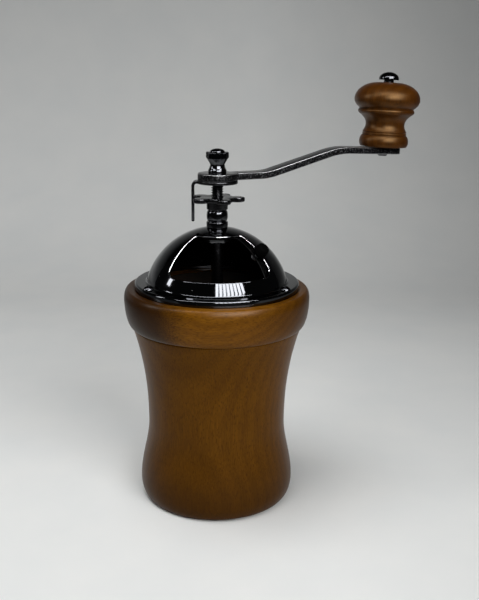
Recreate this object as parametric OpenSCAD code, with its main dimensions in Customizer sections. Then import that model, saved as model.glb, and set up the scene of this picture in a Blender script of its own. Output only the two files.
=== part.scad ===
// Hand coffee mill with a dome hopper.
// A turned wooden receptacle takes the grounds. A wooden collar plugs into it and carries the
// pressed metal dome, the bearing column, the burr housing and the crank.
// The origin is the middle of the base on the mill's axis, and the hopper door faces -Y.

/* [Receptacle] */
// Height of the wooden receptacle
receptacle_h = 92; // [80:1:120]
// Wall of the receptacle at the waist
waist_wall = 6.5; // [4:0.1:10]
// Height of the waist above the base
waist_z = 40; // [30:1:50]
// How far the foot swells past the waist
foot_swell = 4.5; // [2:0.05:7]
// Height of the largest radius of the foot
foot_z = 8.5; // [4:0.5:12]
// Width of the rounding under the foot
foot_round = 3.7; // [2:0.1:6]
// Steepness of the flare from the waist to the top
flare = 2.25; // [1.6:0.05:3]
// Thickness of the receptacle's floor
floor_t = 8; // [5:0.5:14]
// Width of the ring around the pad let into the base
pad_margin = 7.6; // [3:0.2:15]
// Thickness of that pad
pad_t = 1.6; // [1:0.1:3]
// Depth by which the pad stays above the surface
pad_recess = 0.3; // [0.1:0.1:1]

/* [Collar] */
// Height of the wooden collar
collar_h = 18.6; // [16:0.2:24]
// Width of the collar's flat rim beside the seat
collar_land = 2.8; // [1:0.1:4]
// Width of the collar's rounded shoulder
collar_round = 2.2; // [1.5:0.1:4]
// Height of that shoulder, from the collar's widest place to its rim
collar_crown = 4.8; // [3:0.1:8]
// How far the collar draws in from its widest place to its lower edge
collar_tuck = 3.1; // [2:0.1:5]
// Angle at which the collar's curve is cut off at the bottom
collar_undercut = 80; // [60:1:85]
// How far the collar's lower edge stands out past the receptacle
collar_overhang = 0.6; // [0.2:0.1:2]
// Depth of the seat that the dome's rim stands in
seat_depth = 0.4; // [0.3:0.1:2]
// Width of the ledge between the dome's foot and the funnel
funnel_ledge = 2.2; // [0.4:0.1:4]
// Depth of the funnel below the seat
funnel_depth = 12; // [8:0.5:13]
// Width of the shoulder above the burrs
shoulder_w = 1; // [0.6:0.1:2.5]
// Length of the straight throat
throat_l = 3; // [2:0.25:5]
// Length of the plug that goes into the receptacle
plug_l = 9; // [6:0.5:14]
// Wall of the plug
plug_wall = 4.4; // [3.8:0.1:4.8]

/* [Dome] */
// Outer radius of the dome's sphere
dome_r = 36.5; // [32:0.25:41]
// How far the sphere's centre lies below the dome's seat
dome_sink = 5.9; // [4:0.1:7]
// Thickness of the pressed sheet
sheet_t = 1; // [0.7:0.1:1.3]
// Height of the short upright foot between the sphere and the flange
foot_rise = 0.2; // [0.1:0.1:1.5]
// Width of the flange
flange_w = 5.9; // [5.2:0.1:9]
// Height of the turned-down rim
rim_h = 3.6; // [2.5:0.1:5]
// Direction of the opening's left edge, from the front
opening_left = -47; // [-60:1:-40]
// Direction of the opening's right edge, from the front
opening_right = 54; // [45:1:65]
// Radius of the opening's top edge
opening_top_r = 13.6; // [12.5:0.2:16]
// Height of the opening's bottom edge above the seat
opening_sill = 10.3; // [9:0.1:14]

/* [Door] */
// Thickness of the door's shell
door_t = 0.8; // [0.6:0.1:1.1]
// Running gap between the door and the dome
door_gap = 0.35; // [0.25:0.05:0.6]
// How far the closed door reaches past the opening's left and right edges, in degrees
door_lap = 1; // [1:0.1:4]
// How far the door reaches below the sill
door_drop = 1.1; // [0.5:0.1:1.8]
// How far the door's hub stays behind the opening's top edge
door_hub_cover = 1.2; // [0.8:0.1:3]
// Angle between the mill's axis and the door knob
door_knob_polar = 44; // [38:1:50]
// Radius of the door knob
door_knob_r = 3.25; // [2.5:0.05:4]
// Length of the door knob
door_knob_l = 5; // [4:0.1:7]
// Radius of the door knob's rivet
rivet_r = 1; // [0.9:0.05:1.6]

/* [Bearing column] */
// Height of the column above the dome
column_h = 8.7; // [7:0.1:12]
// How far its base flange stands out from the sleeve
column_shoulder = 1.3; // [0.7:0.1:3]
// Height of its base flange
column_base_h = 2.9; // [2:0.1:3.5]
// How far the turned ball stands out from the necks
ball_swell = 0.8; // [0.3:0.05:2]
// How far the necks stand out from the sleeve
neck_step = 0.45; // [0.05:0.01:0.6]
// Wall of the sleeve that goes through the dome
sleeve_wall = 1; // [0.8:0.05:2]
// How far that sleeve stands out of its nut
sleeve_past = 0.6; // [0.2:0.1:2]
// Thickness of the washer under the door
door_washer_t = 1.2; // [0.8:0.1:2]
// Width of that washer's ring
door_washer_w = 3; // [2:0.25:5]
// Height of the hexagon nut on the sleeve
column_nut_h = 2.8; // [2:0.1:3.2]
// Wall of that nut across its flats
column_nut_wall = 2; // [1.2:0.1:4]

/* [Shaft] */
// Radius of the shaft
shaft_r = 3; // [2.7:0.05:3.2]
// Pitch of the thread
thread_pitch = 1; // [0.7:0.05:1.5]
// Depth of the thread
thread_depth = 0.5; // [0.3:0.05:0.7]
// Depth of the two flats that drive the crank
flats_depth = 0.5; // [0.3:0.05:0.8]

/* [Adjuster] */
// Wall of the adjuster's hub
adjuster_wall = 2.2; // [1.2:0.1:4]
// Height of the hub
adjuster_hub_h = 3.9; // [2.5:0.1:6]
// Thickness of the lobed plate
adjuster_plate_t = 2.2; // [1.5:0.1:3]
// Number of lobes
lobe_count = 5; // [5:1:7]
// Distance of each lobe's centre from the axis
lobe_reach = 10.2; // [9.6:0.1:11]
// Radius of each lobe
lobe_r = 3.3; // [2.5:0.1:3.6]
// Radius of the plate between the lobes
lobe_valley_r = 8.6; // [7:0.1:9.4]
// Length of bare thread between the adjuster and the stopper
thread_show = 6.6; // [4:0.2:12]

/* [Stopper] */
// How far the stopper's disc stands out past the arm's eye
stopper_rim = 0.4; // [0:0.1:1.5]
// Thickness of the stopper's sheet
stopper_t = 1.5; // [0.9:0.1:1.6]
// Distance from a valley between the lobes to the tab's inner face
tab_stand = 2.5; // [1.5:0.1:4]
// Play of the tab between two lobes
tab_play = 0.2; // [0.1:0.05:0.6]
// Depth of the tab below the disc
tab_drop = 18.5; // [12:0.5:18.5]
// Outer radius of the bend
tab_bend = 2.6; // [2:0.1:3.5]
// Angle from the crank arm to the tab
tab_turn = 156; // [120:1:240]

/* [Crank arm] */
// Direction of the arm at rest, from +X towards +Y
crank_rest = 24; // [0:1:60]
// Thickness of the flat bar
arm_t = 3.5; // [2.5:0.1:5]
// Width of the flat bar
arm_w = 8.6; // [7.2:0.1:11]
// Wall of the eye around the shaft
eye_wall = 6.6; // [5:0.1:9]
// Level length from the axis to the first bend
arm_level = 22; // [18:0.5:30]
// Angle of the rising stretch
arm_rise = 15; // [8:0.5:24]
// Length of the rising stretch
arm_slope_l = 31.5; // [20:0.5:40]
// Radius of the first bend
bend_1_r = 30; // [15:1:40]
// Radius of the second bend
bend_2_r = 45; // [18:1:60]
// Droop of the end stretch
arm_droop = 2.4; // [0:0.1:6]
// Length of the end stretch up to the knob's axis
arm_end_l = 22.3; // [20:0.1:45]
// Length of the bar past the knob's axis
arm_tail = 10.2; // [6:0.2:14]

/* [Thumb nut] */
// Wall of the flared base
thumb_base_wall = 1.5; // [1:0.1:3]
// Height of the flared base
thumb_base_h = 1.4; // [1:0.1:4]
// Wall of the neck
thumb_neck_wall = 0.55; // [0.4:0.05:1]
// Height of the neck's narrowest place
thumb_neck_h = 4.3; // [3.5:0.1:6]
// Wall of the knurled ring
thumb_ring_wall = 2.55; // [1.8:0.05:5]
// Height of the underside of the ring
thumb_ring_z = 7; // [7:0.1:9]
// Height of the ring
thumb_ring_h = 3.2; // [2:0.1:5]
// Number of ridges in the knurl
knurl_count = 36; // [24:1:60]
// Depth of the knurl
knurl_depth = 0.3; // [0.1:0.05:0.5]
// Wall under the domed cap
thumb_cap_wall = 0.6; // [0.4:0.1:1.4]
// Height of the domed cap
thumb_cap_h = 1.6; // [1:0.1:3]

/* [Crank knob] */
// Radius of the knob's base
knob_base_r = 12.85; // [11.8:0.1:15]
// Rounding of the base
knob_base_round = 5; // [4:0.1:5.5]
// Height of the base's widest place
knob_base_z = 2.6; // [2:0.1:3]
// Height of the base up to the grooves
knob_base_h = 5.8; // [4.6:0.1:7]
// Radius of the bead beside that groove
knob_groove_r = 11.5; // [11:0.1:11.8]
// Radius of the neck
knob_neck_r = 10.15; // [8.5:0.05:10.8]
// Height from the grooves to the neck
knob_neck_rise = 5.5; // [4:0.1:9]
// Radius of the bead under the head
knob_bead_r = 14.65; // [13.6:0.05:15]
// Height from the neck to the bead's middle
knob_cove_rise = 6.8; // [5:0.1:9]
// Rounding of that bead
knob_bead_round = 1.2; // [0.8:0.1:2]
// Largest radius of the head
knob_head_r = 17; // [16:0.1:20]
// Height from the bead to the head's widest place
knob_head_rise = 6; // [4:0.1:8]
// Height of the head above its widest place
knob_crown = 8.6; // [6:0.1:12]
// Radius of the knob's nearly flat top
knob_top_r = 5; // [4:0.2:8]
// Radius of the spindle
spindle_r = 2.6; // [2.2:0.05:3]
// Radius of the spindle's domed head
spindle_head_r = 5.15; // [4:0.05:6.5]
// Height of that head
spindle_head_h = 4; // [2.5:0.1:5]
// Height of the straight rim under that dome
spindle_rim_h = 0.6; // [0.4:0.1:1]
// Bare stem between the knob and that head
spindle_show = 1.3; // [0.8:0.1:3]
// Length of the riveted end under the arm
spindle_stub = 1; // [0.6:0.1:2]

/* [Burrs] */
// Radius of the outer burr
outer_burr_r = 21; // [18:0.1:24]
// Height of the outer burr
outer_burr_h = 16; // [13:0.5:20]
// Wall of the outer burr at its mouth
mouth_wall = 6.5; // [5:0.1:8]
// Wall of the outer burr at its bottom
burr_wall = 3.4; // [2.4:0.1:4]
// Grinding gap at the bottom of the burrs
grind_gap = 0.6; // [0.4:0.1:1]
// Room for beans between the burrs at the mouth
mouth_gap = 7; // [5:0.1:8]
// How far the inner burr hangs below the outer one
burr_hang = 2.6; // [2.3:0.1:4]
// Room between the inner burr and the housing's lip
lip_clear = 0.6; // [0.4:0.1:1]
// Bevel at the outer burr's mouth
burr_bevel = 2; // [1:0.1:3]
// Number of bean grooves in the inner burr
burr_groove_count = 6; // [4:1:8]
// Wall of the burr housing's barrel
barrel_wall = 3; // [2.4:0.1:3]
// Thickness of the housing's lip under the outer burr
lip_t = 2; // [1.5:0.1:2.2]
// Thickness of the housing's flange
housing_flange_t = 2.5; // [2:0.1:4]
// Thickness of the shaft guide's ring and arms
guide_t = 3; // [2:0.1:4]
// Wall of the shaft guide's hub
guide_hub_wall = 1.9; // [1.2:0.1:3]
// Height of the shaft guide's hub
guide_hub_h = 5; // [4.2:0.2:8]
// Width of the shaft guide's arms
guide_arm_w = 4; // [3:0.25:6]
// Wall of the bush in the guide
bush_wall = 1.6; // [1:0.1:2.4]
// How far the carrier stays inside the inner burr
carrier_inset = 5; // [3:0.25:7]
// Thickness of the carrier
carrier_t = 3; // [2:0.25:5]
// Wall of the nut under the carrier across its flats
burr_nut_wall = 2; // [1.2:0.1:4]
// Height of the nut under the carrier
burr_nut_h = 4; // [3:0.25:6]
// Wire of the burr spring
spring_wire = 0.9; // [0.7:0.05:1]
// Room between the shaft and the spring's wire
spring_room = 1.25; // [0.8:0.05:1.6]
// Turns of the burr spring
spring_turns = 3; // [2:1:4]
// Gap between the spring's turns
spring_gap = 0.6; // [0.45:0.05:1]
// Thickness of the washer above the spring
spring_washer_t = 0.6; // [0.4:0.1:0.8]

/* [Screws] */
// Distance of the screws from the flange's edge
flange_screw_inset = 3.1; // [2.6:0.1:3.4]
// Direction of the first of those screws, from the front
flange_screw_az = 60; // [50:1:70]
// Radius of the screws' shanks
screw_r = 1.25; // [1:0.05:1.4]
// Length of the flange screws below their heads
flange_screw_l = 10; // [7:0.5:13]
// Radius of the domed screw heads
screw_head_r = 2.6; // [2.2:0.05:2.8]
// Height of the domed screw heads
screw_head_h = 1.8; // [1.2:0.1:2.5]
// Length of the housing screws below their heads
housing_screw_l = 8; // [6:0.5:10]
// Radius of the housing screws' heads
housing_head_r = 2; // [1.6:0.05:2.2]
// Height of the housing screws' heads
housing_head_h = 1.6; // [1:0.1:2]

/* [Clearances] */
// Gap between the collar and the receptacle's top
joint_gap = 0.2; // [0.1:0.05:0.6]
// Radial play of the plug in the grounds chamber
plug_play = 0.25; // [0.15:0.05:0.5]
// Radial play of the dome's rim in its seat
rim_play = 0.4; // [0.2:0.05:0.6]
// Radial play of shafts and spindles in their bearings
run_play = 0.06; // [0.03:0.01:0.1]
// Radial play of fixed fits
fit_play = 0.04; // [0.02:0.01:0.08]
// End play of turning pieces
end_play = 0.12; // [0.08:0.02:0.3]
// Room under the crank knob
knob_play = 0.4; // [0.3:0.05:0.8]

/* [Hidden] */
$fn = 96;

front = -90;
past = 1;
steps = 12;
screw_count = 3;

// Radii from the shaft outwards
bearing_r = shaft_r + run_play;
fixed_bore_r = shaft_r + fit_play;
flats_w = 2 * (shaft_r - flats_depth);
sleeve_r = shaft_r + sleeve_wall;
neck_r = sleeve_r + neck_step;
ball_r = neck_r + ball_swell;
column_base_r = sleeve_r + column_shoulder;
door_washer_r = sleeve_r + door_washer_w;
column_nut_af = 2 * (sleeve_r + column_nut_wall);
adjuster_hub_r = shaft_r + adjuster_wall;
eye_r = shaft_r + eye_wall;
stopper_r = eye_r + stopper_rim;
tab_reach = lobe_valley_r + tab_stand + stopper_t;
tab_w = 2 * (lobe_reach * sin(180 / lobe_count) - lobe_r - tab_play);
thumb_base_r = shaft_r + thumb_base_wall;
thumb_neck_r = shaft_r + thumb_neck_wall;
thumb_ring_r = shaft_r + thumb_ring_wall;
thumb_cap_r = shaft_r + thumb_cap_wall;
bush_r = shaft_r + bush_wall;
guide_hub_r = bush_r + guide_hub_wall;
burr_nut_af = 2 * (shaft_r + burr_nut_wall);
spring_r = shaft_r + spring_room + spring_wire / 2;

// Radii from the burrs outwards to the receptacle
burr_r = outer_burr_r - burr_wall - grind_gap;
burr_mouth_r = outer_burr_r - mouth_wall;
burr_nose_r = burr_mouth_r - mouth_gap;
carrier_r = burr_r - carrier_inset;
lip_r = burr_r + grind_gap + lip_clear;
throat_r = outer_burr_r - shoulder_w;
barrel_bore_r = outer_burr_r + fit_play;
barrel_r = barrel_bore_r + barrel_wall;
plug_bore_r = barrel_r + fit_play;
plug_r = plug_bore_r + plug_wall;
housing_screw_pitch_r = (plug_bore_r + plug_r) / 2;
chamber_r = plug_r + plug_play;
waist_r = chamber_r + waist_wall;
foot_r = waist_r + foot_swell;
base_r = foot_r - foot_round;
pad_r = base_r - pad_margin;

// Radii from the dome outwards to the collar
dome_in_r = dome_r - sheet_t;
wall_r = sqrt(pow(dome_r, 2) - pow(dome_sink + rim_h + foot_rise, 2));
flange_r = wall_r + flange_w;
flange_screw_pitch_r = flange_r - flange_screw_inset;
funnel_r = wall_r - sheet_t - funnel_ledge;
rim_r = flange_r + rim_play;
collar_r = rim_r + collar_land + collar_round;
collar_edge_r = collar_r - collar_tuck;
receptacle_top_r = collar_edge_r - collar_overhang;

// Levels from the base upwards
collar_z = receptacle_h + joint_gap;
seat_z = collar_z + collar_h - seat_depth;
flange_z = seat_z + rim_h;
dome_z = seat_z - dome_sink;
sill_z = seat_z + opening_sill;
dome_hole_r = sleeve_r + fit_play;
column_z = dome_z + sqrt(pow(dome_r, 2) - pow(dome_hole_r, 2)) + fit_play;
column_top_z = column_z + column_h;
adjuster_z = column_top_z + end_play;
plate_z = adjuster_z + adjuster_hub_h;
plate_top_z = plate_z + adjuster_plate_t;
stopper_z = plate_top_z + thread_show;
arm_z = stopper_z + stopper_t;
arm_top_z = arm_z + arm_t;
shaft_top_z = arm_top_z + thumb_ring_z + thumb_ring_h;

// Levels from the collar downwards
plug_z = collar_z - plug_l;
throat_z = seat_z - funnel_depth;
shoulder_z = throat_z - throat_l;
guide_z = shoulder_z - guide_t;
outer_burr_z = guide_z - outer_burr_h;
lip_z = outer_burr_z - lip_t;
inner_burr_z = outer_burr_z - burr_hang;
carrier_z = inner_burr_z - carrier_t;
burr_nut_z = carrier_z - burr_nut_h;
shaft_z = burr_nut_z - thread_pitch;
spring_washer_z = guide_z - end_play - spring_washer_t;
spring_h = spring_turns * (spring_wire + spring_gap);
spring_bottom_z = spring_washer_z - fit_play - spring_wire / 2 - spring_h;
inner_burr_top_z = spring_bottom_z - spring_wire / 2 - fit_play;
inner_burr_h = inner_burr_top_z - inner_burr_z;

// Heights of the crank knob from its base
knob_neck_z = knob_base_h + knob_neck_rise;
knob_bead_z = knob_neck_z + knob_cove_rise;
knob_head_z = knob_bead_z + knob_head_rise;
knob_h = knob_head_z + knob_crown;

// Door
door_out_r = dome_in_r - door_gap;
door_in_r = door_out_r - door_t;
door_hub_r = opening_top_r - door_hub_cover;
door_bottom_z = sill_z - door_drop;
door_washer_z = dome_z + sqrt(pow(door_in_r, 2) - pow(door_washer_r, 2)) - end_play - door_washer_t;
column_nut_z = door_washer_z - column_nut_h;
sleeve_l = column_z - column_nut_z + sleeve_past;
rivet_stop = asin((rivet_r + door_gap) / (dome_in_r * sin(door_knob_polar)));
door_knob_az = opening_right - rivet_stop;
door_travel = opening_right - opening_left - 2 * rivet_stop;
door_edge_az = opening_left - door_lap + door_travel;
door_span = opening_right - opening_left + 2 * door_lap;

// Crank arm's path, along s from the axis and up
bend_1_s = arm_level + bend_1_r * sin(arm_rise);
bend_1_z = bend_1_r * (1 - cos(arm_rise));
slope_s = bend_1_s + arm_slope_l * cos(arm_rise);
slope_z = bend_1_z + arm_slope_l * sin(arm_rise);
bend_2_s = slope_s + bend_2_r * (sin(arm_rise) + sin(arm_droop));
bend_2_z = slope_z + bend_2_r * (cos(arm_droop) - cos(arm_rise));
knob_s = bend_2_s + arm_end_l * cos(arm_droop);
knob_z = arm_top_z + bend_2_z - arm_end_l * sin(arm_droop);

function arc(centre, radii, from, to, count = steps) = [
    for (i = [0 : count])
        let (a = from + (to - from) * i / count)
            [centre[0] + radii[0] * cos(a), centre[1] + radii[1] * sin(a)]
];

function ease(t) = t * t * (3 - 2 * t);

// Outline of the receptacle, from the base ring over the foot and the waist to the top
function receptacle_outline() = concat(
    arc([base_r, foot_z], [foot_r - base_r, foot_z], -90, 0, 6),
    [for (i = [1 : steps])
        let (t = i / steps)
            [foot_r + (waist_r - foot_r) * ease(t), foot_z + (waist_z - foot_z) * t]],
    [for (i = [1 : steps])
        let (t = i / steps)
            [waist_r + (receptacle_top_r - waist_r) * pow(t, flare), waist_z + (receptacle_h - waist_z) * t]]
);

module receptacle() {
    color("#6b4420")
    difference() {
        rotate_extrude()
            polygon(concat([[0, 0]], receptacle_outline(), [[0, receptacle_h]]));
        translate([0, 0, floor_t])
            cylinder(r = chamber_r, h = receptacle_h);
        translate([0, 0, -past])
            cylinder(r = pad_r + fit_play, h = past + pad_recess + pad_t);
    }
}

module base_pad() {
    color("#3a3a38")
    translate([0, 0, pad_recess])
        cylinder(r = pad_r, h = pad_t - fit_play);
}

module collar() {
    widest_z = collar_z + collar_h - collar_crown;
    side_w = collar_tuck / (1 - cos(collar_undercut));
    side_h = (collar_h - collar_crown) / sin(collar_undercut);
    shoulder = arc([collar_r - collar_round, widest_z], [collar_round, collar_crown], 0, 90);
    color("#8a5a2b")
    difference() {
        union() {
            rotate_extrude()
                polygon(concat(
                    [[0, collar_z]],
                    arc([collar_r - side_w, widest_z], [side_w, side_h], -collar_undercut, 0),
                    [for (p = [1 : steps]) shoulder[p]],
                    [[0, collar_z + collar_h]]
                ));
            translate([0, 0, plug_z])
                cylinder(r = plug_r, h = plug_l + past);
        }
        translate([0, 0, seat_z])
            cylinder(r = rim_r, h = seat_depth + past);
        rotate_extrude()
            polygon([
                [0, shoulder_z - past], [throat_r, shoulder_z - past], [throat_r, throat_z],
                [funnel_r, seat_z], [funnel_r, seat_z + past], [0, seat_z + past]
            ]);
        translate([0, 0, plug_z - past])
            cylinder(r = plug_bore_r, h = shoulder_z - plug_z + past);
        for (i = [1 : screw_count]) {
            on_flange(i)
                translate([0, 0, -flange_screw_l - fit_play])
                    cylinder(r = screw_r + fit_play, h = flange_screw_l);
            on_housing(i)
                translate([0, 0, housing_flange_t])
                    cylinder(r = screw_r + fit_play, h = housing_screw_l - housing_flange_t + fit_play);
        }
    }
}

// Places for the screws: two in front of the dome's sides and one behind
function flange_screw_dir(i) = i == 3 ? 180 : (i == 1 ? -flange_screw_az : flange_screw_az);

module on_flange(i) {
    rotate([0, 0, front + flange_screw_dir(i)])
        translate([flange_screw_pitch_r, 0, flange_z])
            children();
}

module on_housing(i) {
    rotate([0, 0, front + 360 / screw_count * i])
        translate([housing_screw_pitch_r, 0, plug_z - housing_flange_t])
            children();
}

// Outline of a pressed sphere from the hole in its top down to the given radius
function sphere_outline(radius, hole_r, end_r) = arc(
    [0, dome_z], [radius, radius], acos(hole_r / radius), acos(end_r / radius)
);

module hopper_dome() {
    color("#26272a")
    difference() {
        rotate_extrude()
            polygon(concat(
                sphere_outline(dome_r, dome_hole_r, wall_r),
                [[wall_r, flange_z], [flange_r, flange_z], [flange_r, seat_z]],
                [[flange_r - sheet_t, seat_z], [flange_r - sheet_t, flange_z - sheet_t]],
                [[wall_r - sheet_t, flange_z - sheet_t]],
                [for (p = [steps : -1 : 0]) sphere_outline(dome_in_r, dome_hole_r, wall_r - sheet_t)[p]]
            ));
        rotate([0, 0, front + opening_left])
            rotate_extrude(angle = opening_right - opening_left)
                translate([opening_top_r, sill_z])
                    square([dome_r, dome_r]);
        for (i = [1 : screw_count])
            on_flange(i)
                translate([0, 0, -rim_h])
                    cylinder(r = screw_r + fit_play, h = rim_h + past);
    }
}

module flange_screw(i) {
    round_r = (pow(screw_head_r, 2) + pow(screw_head_h, 2)) / (2 * screw_head_h);
    color("#1d1d1f")
    on_flange(i)
        rotate_extrude()
            polygon(concat(
                [[0, -flange_screw_l], [screw_r, -flange_screw_l], [screw_r, 0]],
                arc([0, screw_head_h - round_r], [round_r, round_r], acos(screw_head_r / round_r), 90)
            ));
}

module hopper_door() {
    door_end_r = sqrt(pow(door_out_r, 2) - pow(door_bottom_z - dome_z, 2));
    door_inner_end_r = sqrt(pow(door_in_r, 2) - pow(door_bottom_z - dome_z, 2));
    pivot_r = sleeve_r + run_play;
    color("#202124")
    difference() {
        rotate_extrude()
            polygon(concat(
                sphere_outline(door_out_r, pivot_r, door_end_r),
                [for (p = [steps : -1 : 0]) sphere_outline(door_in_r, pivot_r, door_inner_end_r)[p]]
            ));
        rotate([0, 0, front + door_edge_az + door_span])
            rotate_extrude(angle = 360 - door_span)
                translate([door_hub_r, door_bottom_z - past])
                    square([dome_r, dome_r]);
        on_door()
            cylinder(r = rivet_r + fit_play, h = dome_r);
    }
}

// Axis of the door knob, square to the dome
module on_door() {
    translate([0, 0, dome_z])
        rotate([0, 0, front + door_knob_az])
            rotate([0, door_knob_polar, 0])
                children();
}

module door_knob() {
    knob_z0 = dome_r + door_gap;
    round_h = door_knob_l * 0.45;
    color("#151515")
    on_door()
        difference() {
            rotate_extrude()
                polygon(concat(
                    [[0, knob_z0], [door_knob_r, knob_z0]],
                    arc([0, knob_z0 + door_knob_l - round_h], [door_knob_r, round_h], 0, 90)
                ));
            translate([0, 0, knob_z0 - past])
                cylinder(r = rivet_r + fit_play, h = past + door_knob_l * 0.6);
        }
}

module door_rivet() {
    rivet_head_t = 0.8;
    rivet_head_z = door_in_r * cos(asin(rivet_r * 2 / door_in_r)) - rivet_head_t - fit_play;
    color("#3b3c3f")
    on_door() {
        translate([0, 0, rivet_head_z])
            cylinder(r = rivet_r * 2, h = rivet_head_t);
        translate([0, 0, rivet_head_z])
            cylinder(r = rivet_r, h = dome_r + door_gap + door_knob_l * 0.55 - rivet_head_z);
    }
}

module bearing_column() {
    ball_h = (column_h - column_base_h) * 0.45;
    ball_z = column_z + column_base_h + (column_h - column_base_h) * 0.5;
    color("#303135")
    difference() {
        rotate_extrude()
            polygon(concat(
                [[0, column_z - sleeve_l], [sleeve_r, column_z - sleeve_l], [sleeve_r, column_z]],
                [[column_base_r, column_z], [column_base_r, column_z + column_base_h]],
                [[neck_r, column_z + column_base_h]],
                arc([neck_r, ball_z], [ball_r - neck_r, ball_h], -90, 90),
                [[neck_r, column_top_z], [0, column_top_z]]
            ));
        translate([0, 0, column_z - sleeve_l - past])
            cylinder(r = bearing_r, h = sleeve_l + column_h + 2 * past);
    }
}

module door_washer() {
    color("#8f9094")
    translate([0, 0, door_washer_z])
        difference() {
            cylinder(r = door_washer_r, h = door_washer_t);
            translate([0, 0, -past])
                cylinder(r = sleeve_r + fit_play, h = door_washer_t + 2 * past);
        }
}

module hex_nut(across_flats, height, bore_r) {
    difference() {
        cylinder(r = across_flats / sqrt(3), h = height, $fn = 6);
        translate([0, 0, -past])
            cylinder(r = bore_r, h = height + 2 * past);
    }
}

module column_nut() {
    color("#7d7e82")
    translate([0, 0, column_nut_z])
        hex_nut(column_nut_af, column_nut_h, sleeve_r + fit_play);
}

module burr_housing() {
    color("#1b1b1c")
    difference() {
        union() {
            translate([0, 0, lip_z])
                cylinder(r = barrel_r, h = shoulder_z - fit_play - lip_z);
            translate([0, 0, plug_z - housing_flange_t])
                cylinder(r = plug_r - plug_play, h = housing_flange_t);
        }
        translate([0, 0, outer_burr_z])
            cylinder(r = barrel_bore_r, h = shoulder_z - outer_burr_z + past);
        translate([0, 0, lip_z - past])
            cylinder(r = lip_r, h = lip_t + 2 * past);
        for (i = [1 : screw_count])
            on_housing(i)
                translate([0, 0, -past])
                    cylinder(r = screw_r + fit_play, h = housing_flange_t + 2 * past);
    }
}

module housing_screw(i) {
    color("#77787b")
    on_housing(i) {
        translate([0, 0, -housing_head_h])
            cylinder(r = housing_head_r, h = housing_head_h);
        translate([0, 0, -housing_head_h])
            cylinder(r = screw_r, h = housing_head_h + housing_screw_l);
    }
}

module outer_burr() {
    color("#e9e6dc")
    rotate_extrude()
        polygon([
            [burr_r + grind_gap, outer_burr_z], [outer_burr_r, outer_burr_z],
            [outer_burr_r, guide_z - fit_play], [burr_mouth_r + burr_bevel, guide_z - fit_play],
            [burr_mouth_r, guide_z - burr_bevel - fit_play]
        ]);
}

module shaft_guide() {
    ring_w = 2.2;
    color("#232324")
    difference() {
        union() {
            difference() {
                translate([0, 0, guide_z])
                    cylinder(r = outer_burr_r, h = guide_t - fit_play);
                translate([0, 0, guide_z - past])
                    cylinder(r = outer_burr_r - ring_w, h = guide_t + 2 * past);
            }
            for (i = [1 : screw_count])
                rotate([0, 0, 360 / screw_count * i])
                    translate([0, -guide_arm_w / 2, guide_z])
                        cube([outer_burr_r - ring_w / 2, guide_arm_w, guide_t - fit_play]);
            translate([0, 0, guide_z])
                cylinder(r = guide_hub_r, h = guide_hub_h);
        }
        translate([0, 0, guide_z - past])
            cylinder(r = bush_r + fit_play, h = guide_hub_h + 2 * past);
    }
}

module guide_bush() {
    color("#b08a4a")
    translate([0, 0, guide_z])
        difference() {
            cylinder(r = bush_r, h = guide_hub_h);
            translate([0, 0, -past])
                cylinder(r = bearing_r, h = guide_hub_h + 2 * past);
        }
}

// The shaft's thread is cut as rings, and two flats above the adjuster drive the crank
module shaft() {
    thread_z = adjuster_z;
    ring_count = floor((shaft_top_z - thread_z) / thread_pitch);
    color("#35363a")
    difference() {
        rotate_extrude()
            polygon(concat(
                [[0, shaft_z], [shaft_r, shaft_z], [shaft_r, thread_z]],
                [for (i = [0 : ring_count - 1], half = [0, 1])
                    [shaft_r - thread_depth * (1 - half), thread_z + thread_pitch * (i + 0.25 + half / 2)]],
                [[shaft_r - thread_depth, shaft_top_z - end_play], [0, shaft_top_z - end_play]]
            ));
        rotate([0, 0, crank_rest])
            for (side = [0, 180])
                rotate([0, 0, side])
                    translate([-shaft_r - past, flats_w / 2, stopper_z - fit_play])
                        cube([2 * (shaft_r + past), shaft_r, shaft_top_z]);
    }
}

// Hole for the shaft's two flats
module flats_hole() {
    intersection() {
        circle(r = fixed_bore_r);
        square([4 * shaft_r, flats_w + 2 * fit_play], center = true);
    }
}

module inner_burr() {
    groove_w = 2.4;
    groove_depth = 1.4;
    slope = atan((burr_r - burr_nose_r) / inner_burr_h);
    groove_s = burr_r - groove_w * tan(slope) - groove_depth;
    color("#efece3")
    difference() {
        translate([0, 0, inner_burr_z])
            cylinder(r1 = burr_r, r2 = burr_nose_r, h = inner_burr_h);
        translate([0, 0, inner_burr_z - past])
            cylinder(r = fixed_bore_r, h = inner_burr_h + 2 * past);
        for (i = [1 : burr_groove_count])
            rotate([0, 0, 360 / burr_groove_count * i])
                translate([groove_s, -groove_w / 2, inner_burr_z + groove_w])
                    rotate([0, -slope, 0])
                        cube([burr_r, groove_w, 2 * inner_burr_h]);
    }
}

module burr_carrier() {
    color("#2a2a2b")
    translate([0, 0, carrier_z])
        difference() {
            cylinder(r = carrier_r, h = carrier_t - fit_play);
            translate([0, 0, -past])
                cylinder(r = fixed_bore_r, h = carrier_t + 2 * past);
        }
}

module burr_nut() {
    color("#8a8b8f")
    translate([0, 0, burr_nut_z])
        hex_nut(burr_nut_af, burr_nut_h - fit_play, fixed_bore_r);
}

// The coil spring that presses the inner burr down, as one tube swept along a helix
spring_rings = 8 * spring_turns;
spring_sides = 6;
echo("least gap between the spring's turns", spring_gap);

function spring_point(ring, side) =
    let (turn = 360 * spring_turns * ring / spring_rings)
    let (a = 360 * side / spring_sides)
    let (r = spring_r + spring_wire / 2 * cos(a))
    let (z = spring_bottom_z + spring_h * ring / spring_rings + spring_wire / 2 * sin(a))
        [r * cos(turn), r * sin(turn), z];

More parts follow.
